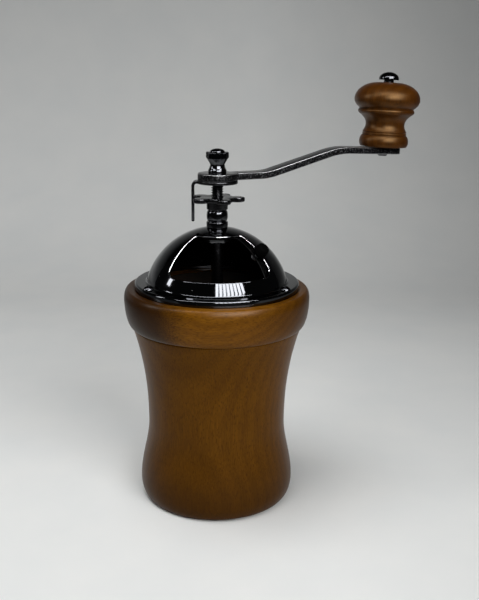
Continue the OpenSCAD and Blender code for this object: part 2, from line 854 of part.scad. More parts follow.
module burr_spring() {
    points = [
        for (ring = [0 : spring_rings], side = [0 : spring_sides - 1]) spring_point(ring, side)
    ];
    sides = [
        for (ring = [0 : spring_rings - 1], side = [0 : spring_sides - 1])
            let (a = ring * spring_sides + side)
            let (b = ring * spring_sides + (side + 1) % spring_sides)
                each [[a, a + spring_sides, b], [b, a + spring_sides, b + spring_sides]]
    ];
    last = spring_rings * spring_sides;
    caps = [
        for (side = [1 : spring_sides - 2])
            each [[0, side, side + 1], [last, last + side + 1, last + side]]
    ];
    color("#a5a6aa")
    polyhedron(points = points, faces = concat(sides, caps), convexity = 8);
}

module spring_washer() {
    color("#9c9da1")
    translate([0, 0, spring_washer_z])
        difference() {
            cylinder(r = spring_r + spring_wire, h = spring_washer_t);
            translate([0, 0, -past])
                cylinder(r = fixed_bore_r, h = spring_washer_t + 2 * past);
        }
}

module adjuster_nut() {
    color("#4a4b4f")
    difference() {
        union() {
            translate([0, 0, adjuster_z])
                cylinder(r = adjuster_hub_r, h = adjuster_hub_h + past);
            rotate([0, 0, crank_rest + tab_turn])
                translate([0, 0, plate_z])
                    linear_extrude(height = adjuster_plate_t)
                        union() {
                            circle(r = lobe_valley_r);
                            for (i = [1 : lobe_count])
                                rotate([0, 0, 360 / lobe_count * (i + 0.5)])
                                    translate([lobe_reach, 0])
                                        circle(r = lobe_r);
                        }
        }
        translate([0, 0, adjuster_z - past])
            cylinder(r = fixed_bore_r, h = adjuster_hub_h + adjuster_plate_t + 2 * past);
    }
}

// The stopper's disc lies under the arm's eye, and its tab hangs down between two lobes
module stopper_plate() {
    color("#45464a")
    difference() {
        union() {
            translate([0, 0, stopper_z])
                cylinder(r = stopper_r, h = stopper_t - fit_play);
            rotate([0, 0, crank_rest + tab_turn])
                translate([0, tab_w / 2, stopper_z])
                    rotate([90, 0, 0])
                        linear_extrude(height = tab_w)
                            polygon(concat(
                                [[0, 0], [tab_reach - tab_bend, 0]],
                                [for (p = [6 : -1 : 0])
                                    arc([tab_reach - tab_bend, stopper_t - tab_bend],
                                        [tab_bend - stopper_t, tab_bend - stopper_t], 0, 90, 6)[p]],
                                [[tab_reach - stopper_t, -tab_drop], [tab_reach, -tab_drop]],
                                arc([tab_reach - tab_bend, stopper_t - fit_play - tab_bend],
                                    [tab_bend, tab_bend], 0, 90, 6),
                                [[0, stopper_t - fit_play]]
                            ));
        }
        translate([0, 0, stopper_z - past])
            rotate([0, 0, crank_rest])
                linear_extrude(height = stopper_t + 2 * past)
                    flats_hole();
    }
}

// Upper edge of the crank arm seen from the side, lowered by the given depth
function arm_edge(depth) = concat(
    [[-eye_r - past, -depth], [arm_level, -depth]],
    arc([arm_level, bend_1_r], [bend_1_r + depth, bend_1_r + depth], -90, -90 + arm_rise, 6),
    arc([slope_s + bend_2_r * sin(arm_rise), slope_z - bend_2_r * cos(arm_rise)],
        [bend_2_r - depth, bend_2_r - depth], 90 + arm_rise, 90 - arm_droop, 6),
    [[knob_s + arm_tail * 2, bend_2_z - (knob_s + arm_tail * 2 - bend_2_s) * tan(arm_droop) - depth]]
);

module crank_arm() {
    upper = arm_edge(0);
    lower = arm_edge(arm_t);
    color("#3c3d41")
    rotate([0, 0, crank_rest])
        difference() {
            intersection() {
                translate([0, eye_r + past, arm_top_z])
                    rotate([90, 0, 0])
                        linear_extrude(height = 2 * (eye_r + past))
                            polygon(concat(lower, [for (p = [len(upper) - 1 : -1 : 0]) upper[p]]));
                translate([0, 0, arm_z - past])
                    linear_extrude(height = arm_top_z + bend_2_z)
                        union() {
                            circle(r = eye_r);
                            translate([0, -arm_w / 2])
                                square([knob_s + arm_tail - arm_w / 2, arm_w]);
                            translate([knob_s + arm_tail - arm_w / 2, 0])
                                circle(r = arm_w / 2);
                        }
            }
            translate([0, 0, arm_z - past])
                linear_extrude(height = arm_t + 2 * past)
                    flats_hole();
            at_knob()
                translate([0, 0, -arm_t - past])
                    cylinder(r = spindle_r + fit_play, h = arm_t + 2 * past);
        }
}

// Axis of the crank knob in the arm's own direction, square to the drooping end of the arm
module at_knob() {
    translate([knob_s, 0, knob_z])
        rotate([0, arm_droop, 0])
            children();
}

module on_knob() {
    rotate([0, 0, crank_rest])
        at_knob()
            children();
}

module thumb_nut() {
    root_r = thumb_ring_r - 2 * knurl_depth;
    color("#2e2f33")
    translate([0, 0, arm_top_z])
        difference() {
            union() {
                rotate_extrude()
                    polygon(concat(
                        [[0, 0], [thumb_base_r, 0], [thumb_base_r, thumb_base_h]],
                        [for (i = [1 : 4])
                            [thumb_neck_r + (thumb_base_r - thumb_neck_r) * pow(1 - i / 4, 2),
                                thumb_base_h + (thumb_neck_h - thumb_base_h) * i / 4]],
                        [[root_r, thumb_ring_z], [root_r, thumb_ring_z + thumb_ring_h / 2], [0, thumb_ring_z + thumb_ring_h / 2]]
                    ));
                translate([0, 0, thumb_ring_z])
                    linear_extrude(height = thumb_ring_h)
                        polygon([
                            for (i = [0 : 2 * knurl_count - 1])
                                let (r = thumb_ring_r - knurl_depth * (i % 2))
                                    [r * cos(180 * i / knurl_count), r * sin(180 * i / knurl_count)]
                        ]);
                translate([0, 0, thumb_ring_z + thumb_ring_h - past])
                    rotate_extrude()
                        polygon(concat(
                            [[0, 0], [thumb_cap_r, 0]],
                            arc([0, past], [thumb_cap_r, thumb_cap_h], 0, 90, 8)
                        ));
            }
            translate([0, 0, -past])
                cylinder(r = fixed_bore_r, h = thumb_ring_z + thumb_ring_h + past);
        }
}

module knob_spindle() {
    head_z = knob_play + knob_h + spindle_show;
    color("#2b2c2f")
    on_knob()
        rotate_extrude()
            polygon(concat(
                [[0, -arm_t - spindle_stub], [spindle_r, -arm_t - spindle_stub]],
                [[spindle_r, head_z], [spindle_head_r, head_z]],
                arc([0, head_z + spindle_rim_h], [spindle_head_r, spindle_head_h - spindle_rim_h], 0, 90, 8)
            ));
}

// Outline of the turned knob, from its base over the grooves, the neck and the bead to the head
knob_groove_depth = 0.4;
knob_groove_h = 1.5;
knob_cove_bend = 2.3;
knob_head_tuck = 40;
knob_head_drop = (knob_head_rise - knob_bead_round - knob_groove_depth) / sin(knob_head_tuck);

function knob_outline() = concat(
    arc([knob_base_r - knob_base_round, knob_base_z], [knob_base_round, knob_base_round],
        -asin(knob_base_z / knob_base_round), asin((knob_base_h - knob_base_z) / knob_base_round), 8),
    [[knob_groove_r - knob_groove_depth, knob_base_h + knob_groove_depth / 4]],
    [[knob_groove_r, knob_base_h + knob_groove_depth]],
    [[knob_groove_r, knob_base_h + knob_groove_h - knob_groove_depth]],
    [[knob_groove_r - knob_groove_depth, knob_base_h + knob_groove_h]],
    [for (i = [0 : 5])
        let (t = 1 - i / 5)
            [knob_neck_r + (knob_groove_r - knob_neck_r) * pow(t, 2),
                knob_neck_z - (knob_neck_rise - knob_groove_h - knob_groove_depth) * t]],
    [for (i = [1 : 8])
        let (t = i / 8)
            [knob_neck_r + (knob_bead_r - knob_bead_round / 2 - knob_neck_r) * pow(t, knob_cove_bend),
                knob_neck_z + (knob_cove_rise - knob_bead_round) * t]],
    arc([knob_bead_r - knob_bead_round, knob_bead_z], [knob_bead_round, knob_bead_round], -60, 60, 5),
    [for (p = [0 : steps - 1])
        arc([knob_top_r, knob_head_z], [knob_head_r - knob_top_r, knob_head_drop], -knob_head_tuck, 0)[p]],
    arc([knob_top_r, knob_head_z], [knob_head_r - knob_top_r, knob_crown], 0, 90)
);

module crank_knob() {
    color("#5d3a18")
    on_knob()
        translate([0, 0, knob_play])
            difference() {
                rotate_extrude()
                    polygon(concat([[0, 0]], knob_outline(), [[0, knob_h]]));
                translate([0, 0, -past])
                    cylinder(r = spindle_r + run_play, h = knob_h + 2 * past);
            }
}

receptacle();
base_pad();
collar();
hopper_dome();
flange_screw(1);  // flange_screw_1
flange_screw(2);  // flange_screw_2
flange_screw(3);  // flange_screw_3
hopper_door();
door_knob();
door_rivet();
bearing_column();
door_washer();
column_nut();
burr_housing();
housing_screw(1);  // housing_screw_1
housing_screw(2);  // housing_screw_2
housing_screw(3);  // housing_screw_3
outer_burr();
shaft_guide();
guide_bush();
shaft();
inner_burr();
burr_carrier();
burr_nut();
burr_spring();
spring_washer();
adjuster_nut();
stopper_plate();
crank_arm();
thumb_nut();
knob_spindle();
crank_knob();
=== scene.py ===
import math

import bmesh
import bpy
from mathutils import Matrix, Vector


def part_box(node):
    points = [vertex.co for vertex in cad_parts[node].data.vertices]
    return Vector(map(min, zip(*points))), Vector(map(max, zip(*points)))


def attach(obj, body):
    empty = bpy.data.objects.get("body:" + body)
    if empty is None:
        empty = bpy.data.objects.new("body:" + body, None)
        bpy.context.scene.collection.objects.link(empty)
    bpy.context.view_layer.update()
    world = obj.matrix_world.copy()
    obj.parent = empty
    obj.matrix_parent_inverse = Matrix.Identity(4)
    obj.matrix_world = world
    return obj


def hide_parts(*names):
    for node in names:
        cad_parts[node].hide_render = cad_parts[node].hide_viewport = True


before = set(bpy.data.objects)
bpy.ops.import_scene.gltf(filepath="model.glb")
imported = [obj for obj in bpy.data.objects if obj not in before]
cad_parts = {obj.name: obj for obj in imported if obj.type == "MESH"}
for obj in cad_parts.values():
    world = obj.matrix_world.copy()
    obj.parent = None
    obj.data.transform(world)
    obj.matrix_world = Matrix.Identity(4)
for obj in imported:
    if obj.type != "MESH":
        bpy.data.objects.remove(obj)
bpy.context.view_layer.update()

# Receptacle: a cup turned from one block of beech to an hourglass and bored out for the grounds.
# Stained walnut brown under a satin lacquer, with its grain upright.
RECEPTACLE_H = 92.0
RECEPTACLE_TOP_R, FLARE = 42.79, 2.25
WAIST_R, WAIST_Z = 35.23, 40.0
FOOT_R, FOOT_Z = 39.73, 8.5
BASE_R = 36.03
CHAMBER_R = 28.73
FLOOR_T = 8.0
PAD_SEAT_R, PAD_SEAT_Z = 28.47, 1.9
FLANK_STEPS = 24


def arc(centre, radii, start, end, count):
    """Points in mm on an ellipse between two angles in degrees."""
    turns = [math.radians(start + (end - start) * i / count) for i in range(count + 1)]
    return [(centre[0] + radii[0] * math.cos(a), centre[1] + radii[1] * math.sin(a)) for a in turns]


def rounded(points, count=5):
    """An outline whose (radius, height, rounding) corners are turned into arcs of that rounding."""
    done = []
    for i, point in enumerate(points):
        if len(point) == 2 or i in (0, len(points) - 1):
            done.append(tuple(point[:2]))
            continue
        corner = Vector(point[:2])
        to_last = Vector(points[i - 1][:2]) - corner
        to_next = Vector(points[i + 1][:2]) - corner
        half = to_last.angle(to_next) / 2
        reach = min(point[2] / math.tan(half), to_last.length * 0.49, to_next.length * 0.49)
        first, last = corner + to_last.normalized() * reach, corner + to_next.normalized() * reach
        radius = reach * math.tan(half)
        middle = corner + (to_last.normalized() + to_next.normalized()).normalized() * radius / math.sin(half)
        sweep = (first - middle).angle_signed(last - middle)
        for k in range(count + 1):
            a = -sweep * k / count
            off = first - middle
            done.append((middle.x + off.x * math.cos(a) - off.y * math.sin(a),
                         middle.y + off.x * math.sin(a) + off.y * math.cos(a)))
    return done


def smooth(skin, name, crease=35):
    """Makes an object of a bmesh in mm, with rounded shading that breaks at sharp edges."""
    bmesh.ops.scale(skin, vec=(0.001, 0.001, 0.001), verts=skin.verts)
    mesh = bpy.data.meshes.new(name)
    skin.to_mesh(mesh)
    skin.free()
    for face in mesh.polygons:
        face.use_smooth = True
    mesh.set_sharp_from_angle(angle=math.radians(crease))
    piece = bpy.data.objects.new(name, mesh)
    bpy.context.scene.collection.objects.link(piece)
    return piece


def turned(name, outline, sides=144, shape=None, crease=35):
    """Turns an outline of (radius, height) points in mm about the Z axis, as on a lathe.
    The outline runs up the outside, and shape may bend a radius by its angle and height."""
    skin = bmesh.new()
    rings = []
    for radius, height in outline:
        if radius < 1e-6:
            rings.append([skin.verts.new((0, 0, height))])
            continue
        ring = []
        for k in range(sides):
            a = 2 * math.pi * k / sides
            r = shape(radius, a, height) if shape else radius
            ring.append(skin.verts.new((r * math.cos(a), r * math.sin(a), height)))
        rings.append(ring)
    for low, high in zip(rings, rings[1:]):
        for k in range(sides):
            corners = [ring[i % len(ring)] for ring, i in ((low, k), (low, k + 1), (high, k + 1), (high, k))]
            skin.faces.new(list(dict.fromkeys(corners)))
    bmesh.ops.remove_doubles(skin, verts=skin.verts, dist=1e-5)
    bmesh.ops.recalc_face_normals(skin, faces=skin.faces)
    return smooth(skin, name, crease)


def linear(code):
    """Linear colour of an sRGB hex value."""
    parts = [int(code[i:i + 2], 16) / 255 for i in (1, 3, 5)]
    return (*[c / 12.92 if c <= 0.04045 else ((c + 0.055) / 1.055) ** 2.4 for c in parts], 1.0)


def add(tree, kind, inputs=None, stops=(), **settings):
    """Adds a node with its settings, its inputs and a colour ramp's stops. An input is a value, an sRGB
    hex colour, a socket, or a node that stands for its first output in use."""
    node = tree.nodes.new(kind)
    for key, value in settings.items():
        setattr(node, key, value)
    for key, value in (inputs or {}).items():
        if isinstance(value, bpy.types.Node):
            value = next(socket for socket in value.outputs if socket.enabled)
        if isinstance(value, str):
            value = linear(value)
        if isinstance(value, bpy.types.NodeSocket):
            tree.links.new(value, node.inputs[key])
        else:
            node.inputs[key].default_value = value
    for i, (place, code) in enumerate(stops):
        stop = node.color_ramp.elements[i] if i < 2 else node.color_ramp.elements.new(place)
        stop.position, stop.color = place, linear(code)
    return node


def blank(name):
    """A new material with an empty node tree."""
    material = bpy.data.materials.new(name)
    material.use_nodes = True
    material.node_tree.nodes.clear()
    return material, material.node_tree


# a place in mm that no wood reaches
BEYOND = 1000.0


def stained_beech(name, dark, middle, pale, pore, pith, wave, gloss, shine, lacquer, turn=(0, 0, 0),
                  shade_inside_r=0.0, shade_above_z=0.0, shade_left_x=-BEYOND, shade_below_z=-BEYOND, shade_beyond_x=BEYOND):
    """Beech under walnut stain: broad low-contrast rings, fine fibres and the short dark flecks of
    the rays. Painted shade darkens it inside a radius above a level, left of an X, below a level towards
    the foot and farther to the sides than a distance from the axis. Lengths are in mm."""
    material, tree = blank(name)
    place = add(tree, "ShaderNodeTexCoord").outputs["Object"]
    metric = add(tree, "ShaderNodeMapping", {"Vector": place, "Scale": (1000, 1000, 1000)})
    grain = add(tree, "ShaderNodeMapping", {"Vector": metric, "Rotation": turn})
    sway = add(tree, "ShaderNodeTexNoise", {"Vector": grain, "Scale": 1 / 28, "Detail": 2.0})
    swayed = add(tree, "ShaderNodeVectorMath", {0: sway.outputs["Color"], 1: (wave, wave, wave), 2: grain},
                 operation="MULTIPLY_ADD")
    # growth rings about 4 mm apart round a pith that lies outside the piece
    ring_place = add(tree, "ShaderNodeMapping", {"Vector": swayed, "Location": pith, "Scale": (1, 1, 0.08)})
    rings = add(tree, "ShaderNodeTexWave", {"Vector": ring_place, "Scale": 0.314 / 4.2, "Distortion": 2.2,
                "Detail": 3.0, "Detail Scale": 0.6}, wave_type="RINGS", rings_direction="Z")
    # fibres 0.4 mm wide and 14 mm long
    fibre_place = add(tree, "ShaderNodeMapping", {"Vector": swayed, "Scale": (1 / 0.4, 1 / 0.4, 1 / 14)})
    fibres = add(tree, "ShaderNodeTexNoise", {"Vector": fibre_place, "Scale": 1.0, "Detail": 3.0})
    # ray flecks 0.4 mm wide and 2 mm long
    fleck_place = add(tree, "ShaderNodeMapping", {"Vector": swayed, "Scale": (1 / 0.45, 1 / 0.45, 1 / 2.2)})
    flecks = add(tree, "ShaderNodeTexNoise", {"Vector": fleck_place, "Scale": 1.0, "Detail": 1.0})
    fleck = add(tree, "ShaderNodeMapRange", {
        "Value": flecks, "From Min": 0.56, "From Max": 0.72, "To Max": 0.7})
    # cloudy take-up of the stain over some 30 mm
    clouds = add(tree, "ShaderNodeTexNoise", {"Vector": grain, "Scale": 1 / 30, "Detail": 3.0})
    figure = add(tree, "ShaderNodeMath", {0: rings.outputs["Fac"], 1: 0.16, 2: fibres},
                 operation="MULTIPLY_ADD")
    tone = add(tree, "ShaderNodeMath", {0: clouds, 1: 0.5, 2: figure}, operation="MULTIPLY_ADD")
    shade = add(tree, "ShaderNodeMapRange", {"Value": tone, "From Min": 0.5, "From Max": 1.16})
    stain = add(tree, "ShaderNodeValToRGB", {"Fac": shade}, stops=[(0.0, dark), (0.5, middle), (1.0, pale)])
    flecked = add(tree, "ShaderNodeMix", {0: fleck, 6: stain, 7: pore}, data_type="RGBA")
    # painted shade on the left side, which comes in over 14 mm
    where = add(tree, "ShaderNodeSeparateXYZ", {0: metric})
    drift = add(tree, "ShaderNodeMath", {0: fibres, 1: 14.0, 2: where.outputs["X"]}, operation="MULTIPLY_ADD")
    left_shade = add(tree, "ShaderNodeMapRange", {"Value": drift, "From Min": shade_left_x + 7, "From Max": shade_left_x - 7,
                "To Max": 0.8})
    left_shaded = add(tree, "ShaderNodeMix", {0: left_shade, 6: flecked, 7: "#1f1108"}, data_type="RGBA")
    # painted shade that darkens over 34 mm towards the foot and over 33 mm towards the sides
    low_shade = add(tree, "ShaderNodeMapRange", {
        "Value": where.outputs["Z"], "From Min": shade_below_z, "From Max": shade_below_z - 34, "To Max": 0.55})
    side = add(tree, "ShaderNodeMath", {0: where.outputs["X"]}, operation="ABSOLUTE")
    side_shade = add(tree, "ShaderNodeMapRange", {
        "Value": side, "From Min": shade_beyond_x, "From Max": shade_beyond_x + 33, "To Max": 0.8})
    painted_shade = add(tree, "ShaderNodeMath", {0: low_shade, 1: side_shade}, operation="MAXIMUM")
    shaded = add(tree, "ShaderNodeMix", {0: painted_shade, 6: left_shaded, 7: "#2e1703"}, data_type="RGBA")
    # painted shade inside the bore and the funnel, which also dulls the lacquer there
    flat = add(tree, "ShaderNodeVectorMath", {0: metric, 1: (1, 1, 0)}, operation="MULTIPLY")
    reach = add(tree, "ShaderNodeVectorMath", {0: flat}, operation="LENGTH")
    inside = add(tree, "ShaderNodeMath", {0: reach, 1: shade_inside_r}, operation="LESS_THAN")
    above = add(tree, "ShaderNodeMath", {0: where.outputs["Z"], 1: shade_above_z}, operation="GREATER_THAN")
    inner_shade = add(tree, "ShaderNodeMath", {0: inside, 1: above}, operation="MULTIPLY")
    colour = add(tree, "ShaderNodeMix", {0: inner_shade, 6: shaded, 7: "#160b05"}, data_type="RGBA")
    lustre = add(tree, "ShaderNodeMapRange", {"Value": fibres, "To Min": gloss - 0.06, "To Max": gloss + 0.1})
    dulled = add(tree, "ShaderNodeMath", {0: inner_shade, 1: 0.45, 2: lustre}, operation="MULTIPLY_ADD")
    grooves = add(tree, "ShaderNodeMath", {0: fleck, 1: -0.6, 2: fibres}, operation="MULTIPLY_ADD")
    relief = add(tree, "ShaderNodeBump", {"Height": grooves, "Strength": 0.1, "Distance": 0.0001})
    shader = add(tree, "ShaderNodeBsdfPrincipled", {
        "Base Color": colour, "Roughness": dulled, "Normal": relief,
        "IOR": 1.5, "Specular IOR Level": shine, "Specular Tint": lacquer})
    add(tree, "ShaderNodeOutputMaterial", {0: shader})
    return material


def fit(piece, finish, slot, body, *nodes):
    """Gives a finished piece its material and puts it on its body in place of its nodes. Its slot is not
    used.
    """
    if not piece.data.materials:
        piece.data.materials.append(finish)
    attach(piece, body)
    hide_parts(*nodes)


def swell(t):
    """A share from 0 to 1 that starts and ends softly."""
    return t * t * (3 - 2 * t)


flank = [(BASE_R, 0)] + arc((BASE_R, FOOT_Z), (FOOT_R - BASE_R, FOOT_Z), -61, 0, 10)
for i in range(1, FLANK_STEPS + 1):
    share = i / FLANK_STEPS
    flank.append((FOOT_R + (WAIST_R - FOOT_R) * swell(share), FOOT_Z + (WAIST_Z - FOOT_Z) * share))
for i in range(1, FLANK_STEPS + 1):
    share = i / FLANK_STEPS
    flank.append((WAIST_R + (RECEPTACLE_TOP_R - WAIST_R) * share ** FLARE,
                  WAIST_Z + (RECEPTACLE_H - WAIST_Z) * share))
base = [(0, PAD_SEAT_Z), (PAD_SEAT_R, PAD_SEAT_Z, 0.2), (PAD_SEAT_R, 0, 0.5), (*flank[0], 0.2),
        (*flank[1], 0.25)]
chamber = [(*flank[-1], 0.6), (CHAMBER_R, RECEPTACLE_H, 0.6), (CHAMBER_R, FLOOR_T, 2.5), (0, FLOOR_T)]
receptacle = turned("receptacle_cup", rounded(base + flank[2:-1] + chamber), sides=192)
# the body is painted darker inside its chamber and towards its foot as shade
body_beech = stained_beech(
    "body stained beech", "#553309", "#653f0a", "#74490d", "#472a06", pith=(-45, -95, 0), wave=2.0,
    gloss=0.3, shine=0.08, lacquer="#ffeed8", shade_inside_r=29.5, shade_above_z=5.0, shade_below_z=44.0)
fit(receptacle, body_beech, "body_wood", "receptacle_unit", "receptacle")

# Base pad: a disc of black foam rubber glued into the recess under the foot.
# Cut from sheet, so its face has a fine even pore.
pad_rubber, tree = blank("foam rubber pad")
place = add(tree, "ShaderNodeTexCoord").outputs["Object"]
# pores 0.6 mm across
pores = add(tree, "ShaderNodeTexVoronoi", {"Vector": place, "Scale": 1 / 0.0006})
tint = add(tree, "ShaderNodeValToRGB", {"Fac": pores}, stops=[(0.1, "#0d0d0d"), (0.7, "#232322")])
relief = add(tree, "ShaderNodeBump", {"Height": pores, "Strength": 0.4, "Distance": 0.0002})
shader = add(tree, "ShaderNodeBsdfPrincipled", {"Base Color": tint, "Normal": relief, "Roughness": 0.85})
add(tree, "ShaderNodeOutputMaterial", {0: shader})


def dress(finish, *nodes):
    """Gives the solids that already have the right shape their material."""
    for node in nodes:
        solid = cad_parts[node]
        if not solid.material_slots:
            solid.data.materials.append(finish)
        for slot in solid.material_slots:
            slot.material = finish


dress(pad_rubber, "base_pad")

# Collar: a beech ring turned with a rounded bulge, grain across. Its plug sits in the receptacle,
# its funnel leads the beans to the burrs, and the dome stands in the seat in its top.
COLLAR_Z, COLLAR_H = 92.2, 18.6
COLLAR_R, COLLAR_ROUND, COLLAR_CROWN, COLLAR_TUCK, COLLAR_UNDERCUT = 46.49, 2.2, 4.8, 3.1, 80.0
SEAT_Z, SEAT_R = 110.4, 41.49
FUNNEL_R = 32.0
THROAT_R, THROAT_Z, SHOULDER_Z = 20.0, 98.4, 95.4
PLUG_R, PLUG_BORE_R, PLUG_Z, BORE_SEAM_Z = 28.48, 24.08, 83.2, 89.0
widest_z = COLLAR_Z + COLLAR_H - COLLAR_CROWN
side_w = COLLAR_TUCK / (1 - math.cos(math.radians(COLLAR_UNDERCUT)))
side_h = (COLLAR_H - COLLAR_CROWN) / math.sin(math.radians(COLLAR_UNDERCUT))
bulge = arc((COLLAR_R - side_w, widest_z), (side_w, side_h), -COLLAR_UNDERCUT, 0, 20)
bulge += arc((COLLAR_R - COLLAR_ROUND, widest_z), (COLLAR_ROUND, COLLAR_CROWN), 0, 90, 14)[1:]
plug = [(PLUG_BORE_R, BORE_SEAM_Z), (PLUG_BORE_R, PLUG_Z, 0.4), (PLUG_R, PLUG_Z, 0.8),
        (PLUG_R, COLLAR_Z, 0.3)]
funnel = [(SEAT_R, COLLAR_Z + COLLAR_H, 0.15), (SEAT_R, SEAT_Z, 0.1), (FUNNEL_R, SEAT_Z, 0.6),
          (THROAT_R, THROAT_Z, 1.0), (THROAT_R, SHOULDER_Z), (PLUG_BORE_R, SHOULDER_Z),
          (PLUG_BORE_R, BORE_SEAM_Z)]
collar = turned("collar_ring", rounded(
    plug + [(*bulge[0], 0.35)] + bulge[1:-1] + [(*bulge[-1], 0.3)] + funnel), sides=192)
# the collar is painted darker inside its funnel, on its left and towards both its sides as shade
collar_beech = stained_beech(
    "collar stained beech", "#5f3907", "#7a4c09", "#8b5a0f", "#4f2d05", pith=(-20, -70, 0), wave=7.0,
    gloss=0.3, shine=0.14, lacquer="#fff6ea", turn=(0, math.pi / 2, 0), shade_inside_r=33.0, shade_above_z=95.0,
    shade_left_x=-14, shade_beyond_x=13.0)
fit(collar, collar_beech, "collar_wood", "upper_unit", "collar")

# Burr unit: a glass-filled nylon housing with its shaft guide, screwed under the collar with three
# zinc-plated screws. A sintered bronze bush in the guide steadies the shaft.


def grained(name, grain_mm, detail, dark, pale, rough, strength, more):
    """A finish with an even grain, which gives its tone, its roughness and a shallow relief."""
    material, tree = blank(name)
    place = add(tree, "ShaderNodeTexCoord").outputs["Object"]
    grain = add(tree, "ShaderNodeTexNoise", {"Vector": place, "Scale": 1000 / grain_mm, "Detail": detail})
    tint = add(tree, "ShaderNodeValToRGB", {"Fac": grain}, stops=[(0.3, dark), (0.7, pale)])
    sheen = add(tree, "ShaderNodeMapRange", {"Value": grain, "To Min": rough[0], "To Max": rough[1]})
    relief = add(tree, "ShaderNodeBump", {"Height": grain, "Strength": strength, "Distance": 0.0001})
    shader = add(tree, "ShaderNodeBsdfPrincipled", {
        "Base Color": tint, "Roughness": sheen, "Normal": relief, **more})
    add(tree, "ShaderNodeOutputMaterial", {0: shader})
    return material


# spark-eroded mould skin with a grit of 0.4 mm, drawn at 0.7 mm
glass_nylon = grained("glass filled nylon", 0.7, 3.0, "#121213", "#222224", (0.42, 0.62), 0.25, {"IOR": 1.53})
dress(glass_nylon, "burr_housing", "shaft_guide", "burr_carrier")


def plain_metal(name, dull, bright, rough, fleck_mm):
    """Bare turned or plated metal: a cloudy tone and a roughness that varies with it."""
    return grained(name, fleck_mm, 4.0, dull, bright, (rough - 0.1, rough + 0.12), 0.1, {"Metallic": 1.0})


zinc_steel = plain_metal("zinc plated steel", "#8d8f92", "#b4b6b8", 0.34, 1.2)
dress(zinc_steel, "housing_screw_1", "housing_screw_2", "housing_screw_3", "column_nut", "door_washer",
      "door_rivet", "burr_nut", "spring_washer")
dress(plain_metal("sintered bronze", "#7d6033", "#a9854a", 0.42, 0.5), "guide_bush")

# Burrs: two unglazed ceramic cones, pressed and fired. The outer one sits in the housing, the inner
# one turns with the shaft, and helical teeth run from the coarse mouth to the fine edge.
OUTER_BURR_R, OUTER_BURR_Z, OUTER_BURR_TOP = 21.0, 76.4, 92.36
BURR_EDGE_R, BURR_MOUTH_R, BURR_BEVEL = 17.6, 14.5, 2.0
INNER_BURR_R, INNER_BURR_Z, INNER_BURR_H, BURR_NOSE_R = 17.0, 73.8, 12.38, 7.5
SHAFT_R, SHAFT_BORE_R = 3.0, 3.04
# pressed grain of 0.5 mm, browned by coffee
fired_ceramic = grained("fired ceramic", 0.5, 4.0, "#a99f8b", "#c9c1b0", (0.5, 0.5), 0.2, {})


def inner_teeth(radius, angle, height):
    """Six deep bean grooves over thirty fine teeth, both leaning round the cone."""
    if radius < SHAFT_R + 1:
        return radius
    up = (height - INNER_BURR_Z) / INNER_BURR_H
    lean = angle - 1.1 * up
    fine = 0.45 * abs((lean * 30 / (2 * math.pi)) % 1 - 0.5) * 2
    groove = 1.3 * max(0.0, math.cos(lean * 6)) ** 3 * min(1.0, max(0.0, up * 1.6 - 0.2))
    return radius - fine - groove * min(1.0, radius / 10)


def outer_teeth(radius, angle, height):
    """Thirty six fine teeth inside the outer burr, which open towards its mouth."""
    if radius > OUTER_BURR_R - 1.5:
        return radius
    up = (height - OUTER_BURR_Z) / (OUTER_BURR_TOP - OUTER_BURR_Z)
    lean = angle + 0.7 * up
    return radius + (0.25 + 0.9 * up) * abs((lean * 36 / (2 * math.pi)) % 1 - 0.5) * 2


cone = [(INNER_BURR_R + (BURR_NOSE_R - INNER_BURR_R) * i / 16, INNER_BURR_Z + INNER_BURR_H * i / 16)
        for i in range(17)]
inner_burr = turned("inner_burr_cone", [(SHAFT_BORE_R, INNER_BURR_Z)] + cone
                    + [(SHAFT_BORE_R, INNER_BURR_Z + INNER_BURR_H), (SHAFT_BORE_R, INNER_BURR_Z)],
                    sides=240, shape=inner_teeth, crease=25)
fit(inner_burr, fired_ceramic, "ceramic", "crank_unit", "inner_burr")
throat = [(BURR_EDGE_R + (BURR_MOUTH_R - BURR_EDGE_R) * i / 12,
           OUTER_BURR_Z + (OUTER_BURR_TOP - BURR_BEVEL - OUTER_BURR_Z) * i / 12) for i in range(13)]
seat = [(BURR_EDGE_R, OUTER_BURR_Z), (OUTER_BURR_R, OUTER_BURR_Z), (OUTER_BURR_R, OUTER_BURR_TOP),
        (BURR_MOUTH_R + BURR_BEVEL, OUTER_BURR_TOP)]
outer_burr = turned("outer_burr_ring", seat + throat[::-1], sides=288, shape=outer_teeth, crease=25)
fit(outer_burr, fired_ceramic, "ceramic", "upper_unit", "outer_burr")

# Burr spring: three turns of bright spring wire between the inner burr and the guide's washer.
# It is wound, so the wire follows a helix.
SPRING_R, SPRING_WIRE, SPRING_TURNS, SPRING_H = 4.7, 0.9, 3, 4.5
SPRING_Z = INNER_BURR_Z + INNER_BURR_H + 0.04 + SPRING_WIRE / 2


def sockets(tree, *wanted):
    """Gives a geometry tree its geometry output and its named inputs, and returns the input node."""
    tree.interface.new_socket("Geometry", in_out="OUTPUT", socket_type="NodeSocketGeometry")
    for name, kind in wanted:
        tree.interface.new_socket(name, in_out="INPUT", socket_type="NodeSocket" + kind)
    return tree.nodes.new("NodeGroupInput").outputs


def grown(piece, tree, **sizes):
    """Runs a geometry tree on a piece with its inputs set by name, and keeps the result as a plain mesh."""
    modifier = piece.modifiers.new("grown", "NODES")
    modifier.node_group = tree
    for item in tree.interface.items_tree:
        if item.in_out == "INPUT" and item.name.replace(" ", "_").lower() in sizes:
            modifier[item.identifier] = sizes[item.name.replace(" ", "_").lower()]
    plain = bpy.data.meshes.new_from_object(piece.evaluated_get(bpy.context.evaluated_depsgraph_get()))
    plain.name = piece.name
    piece.modifiers.clear()
    piece.data = plain
    return piece


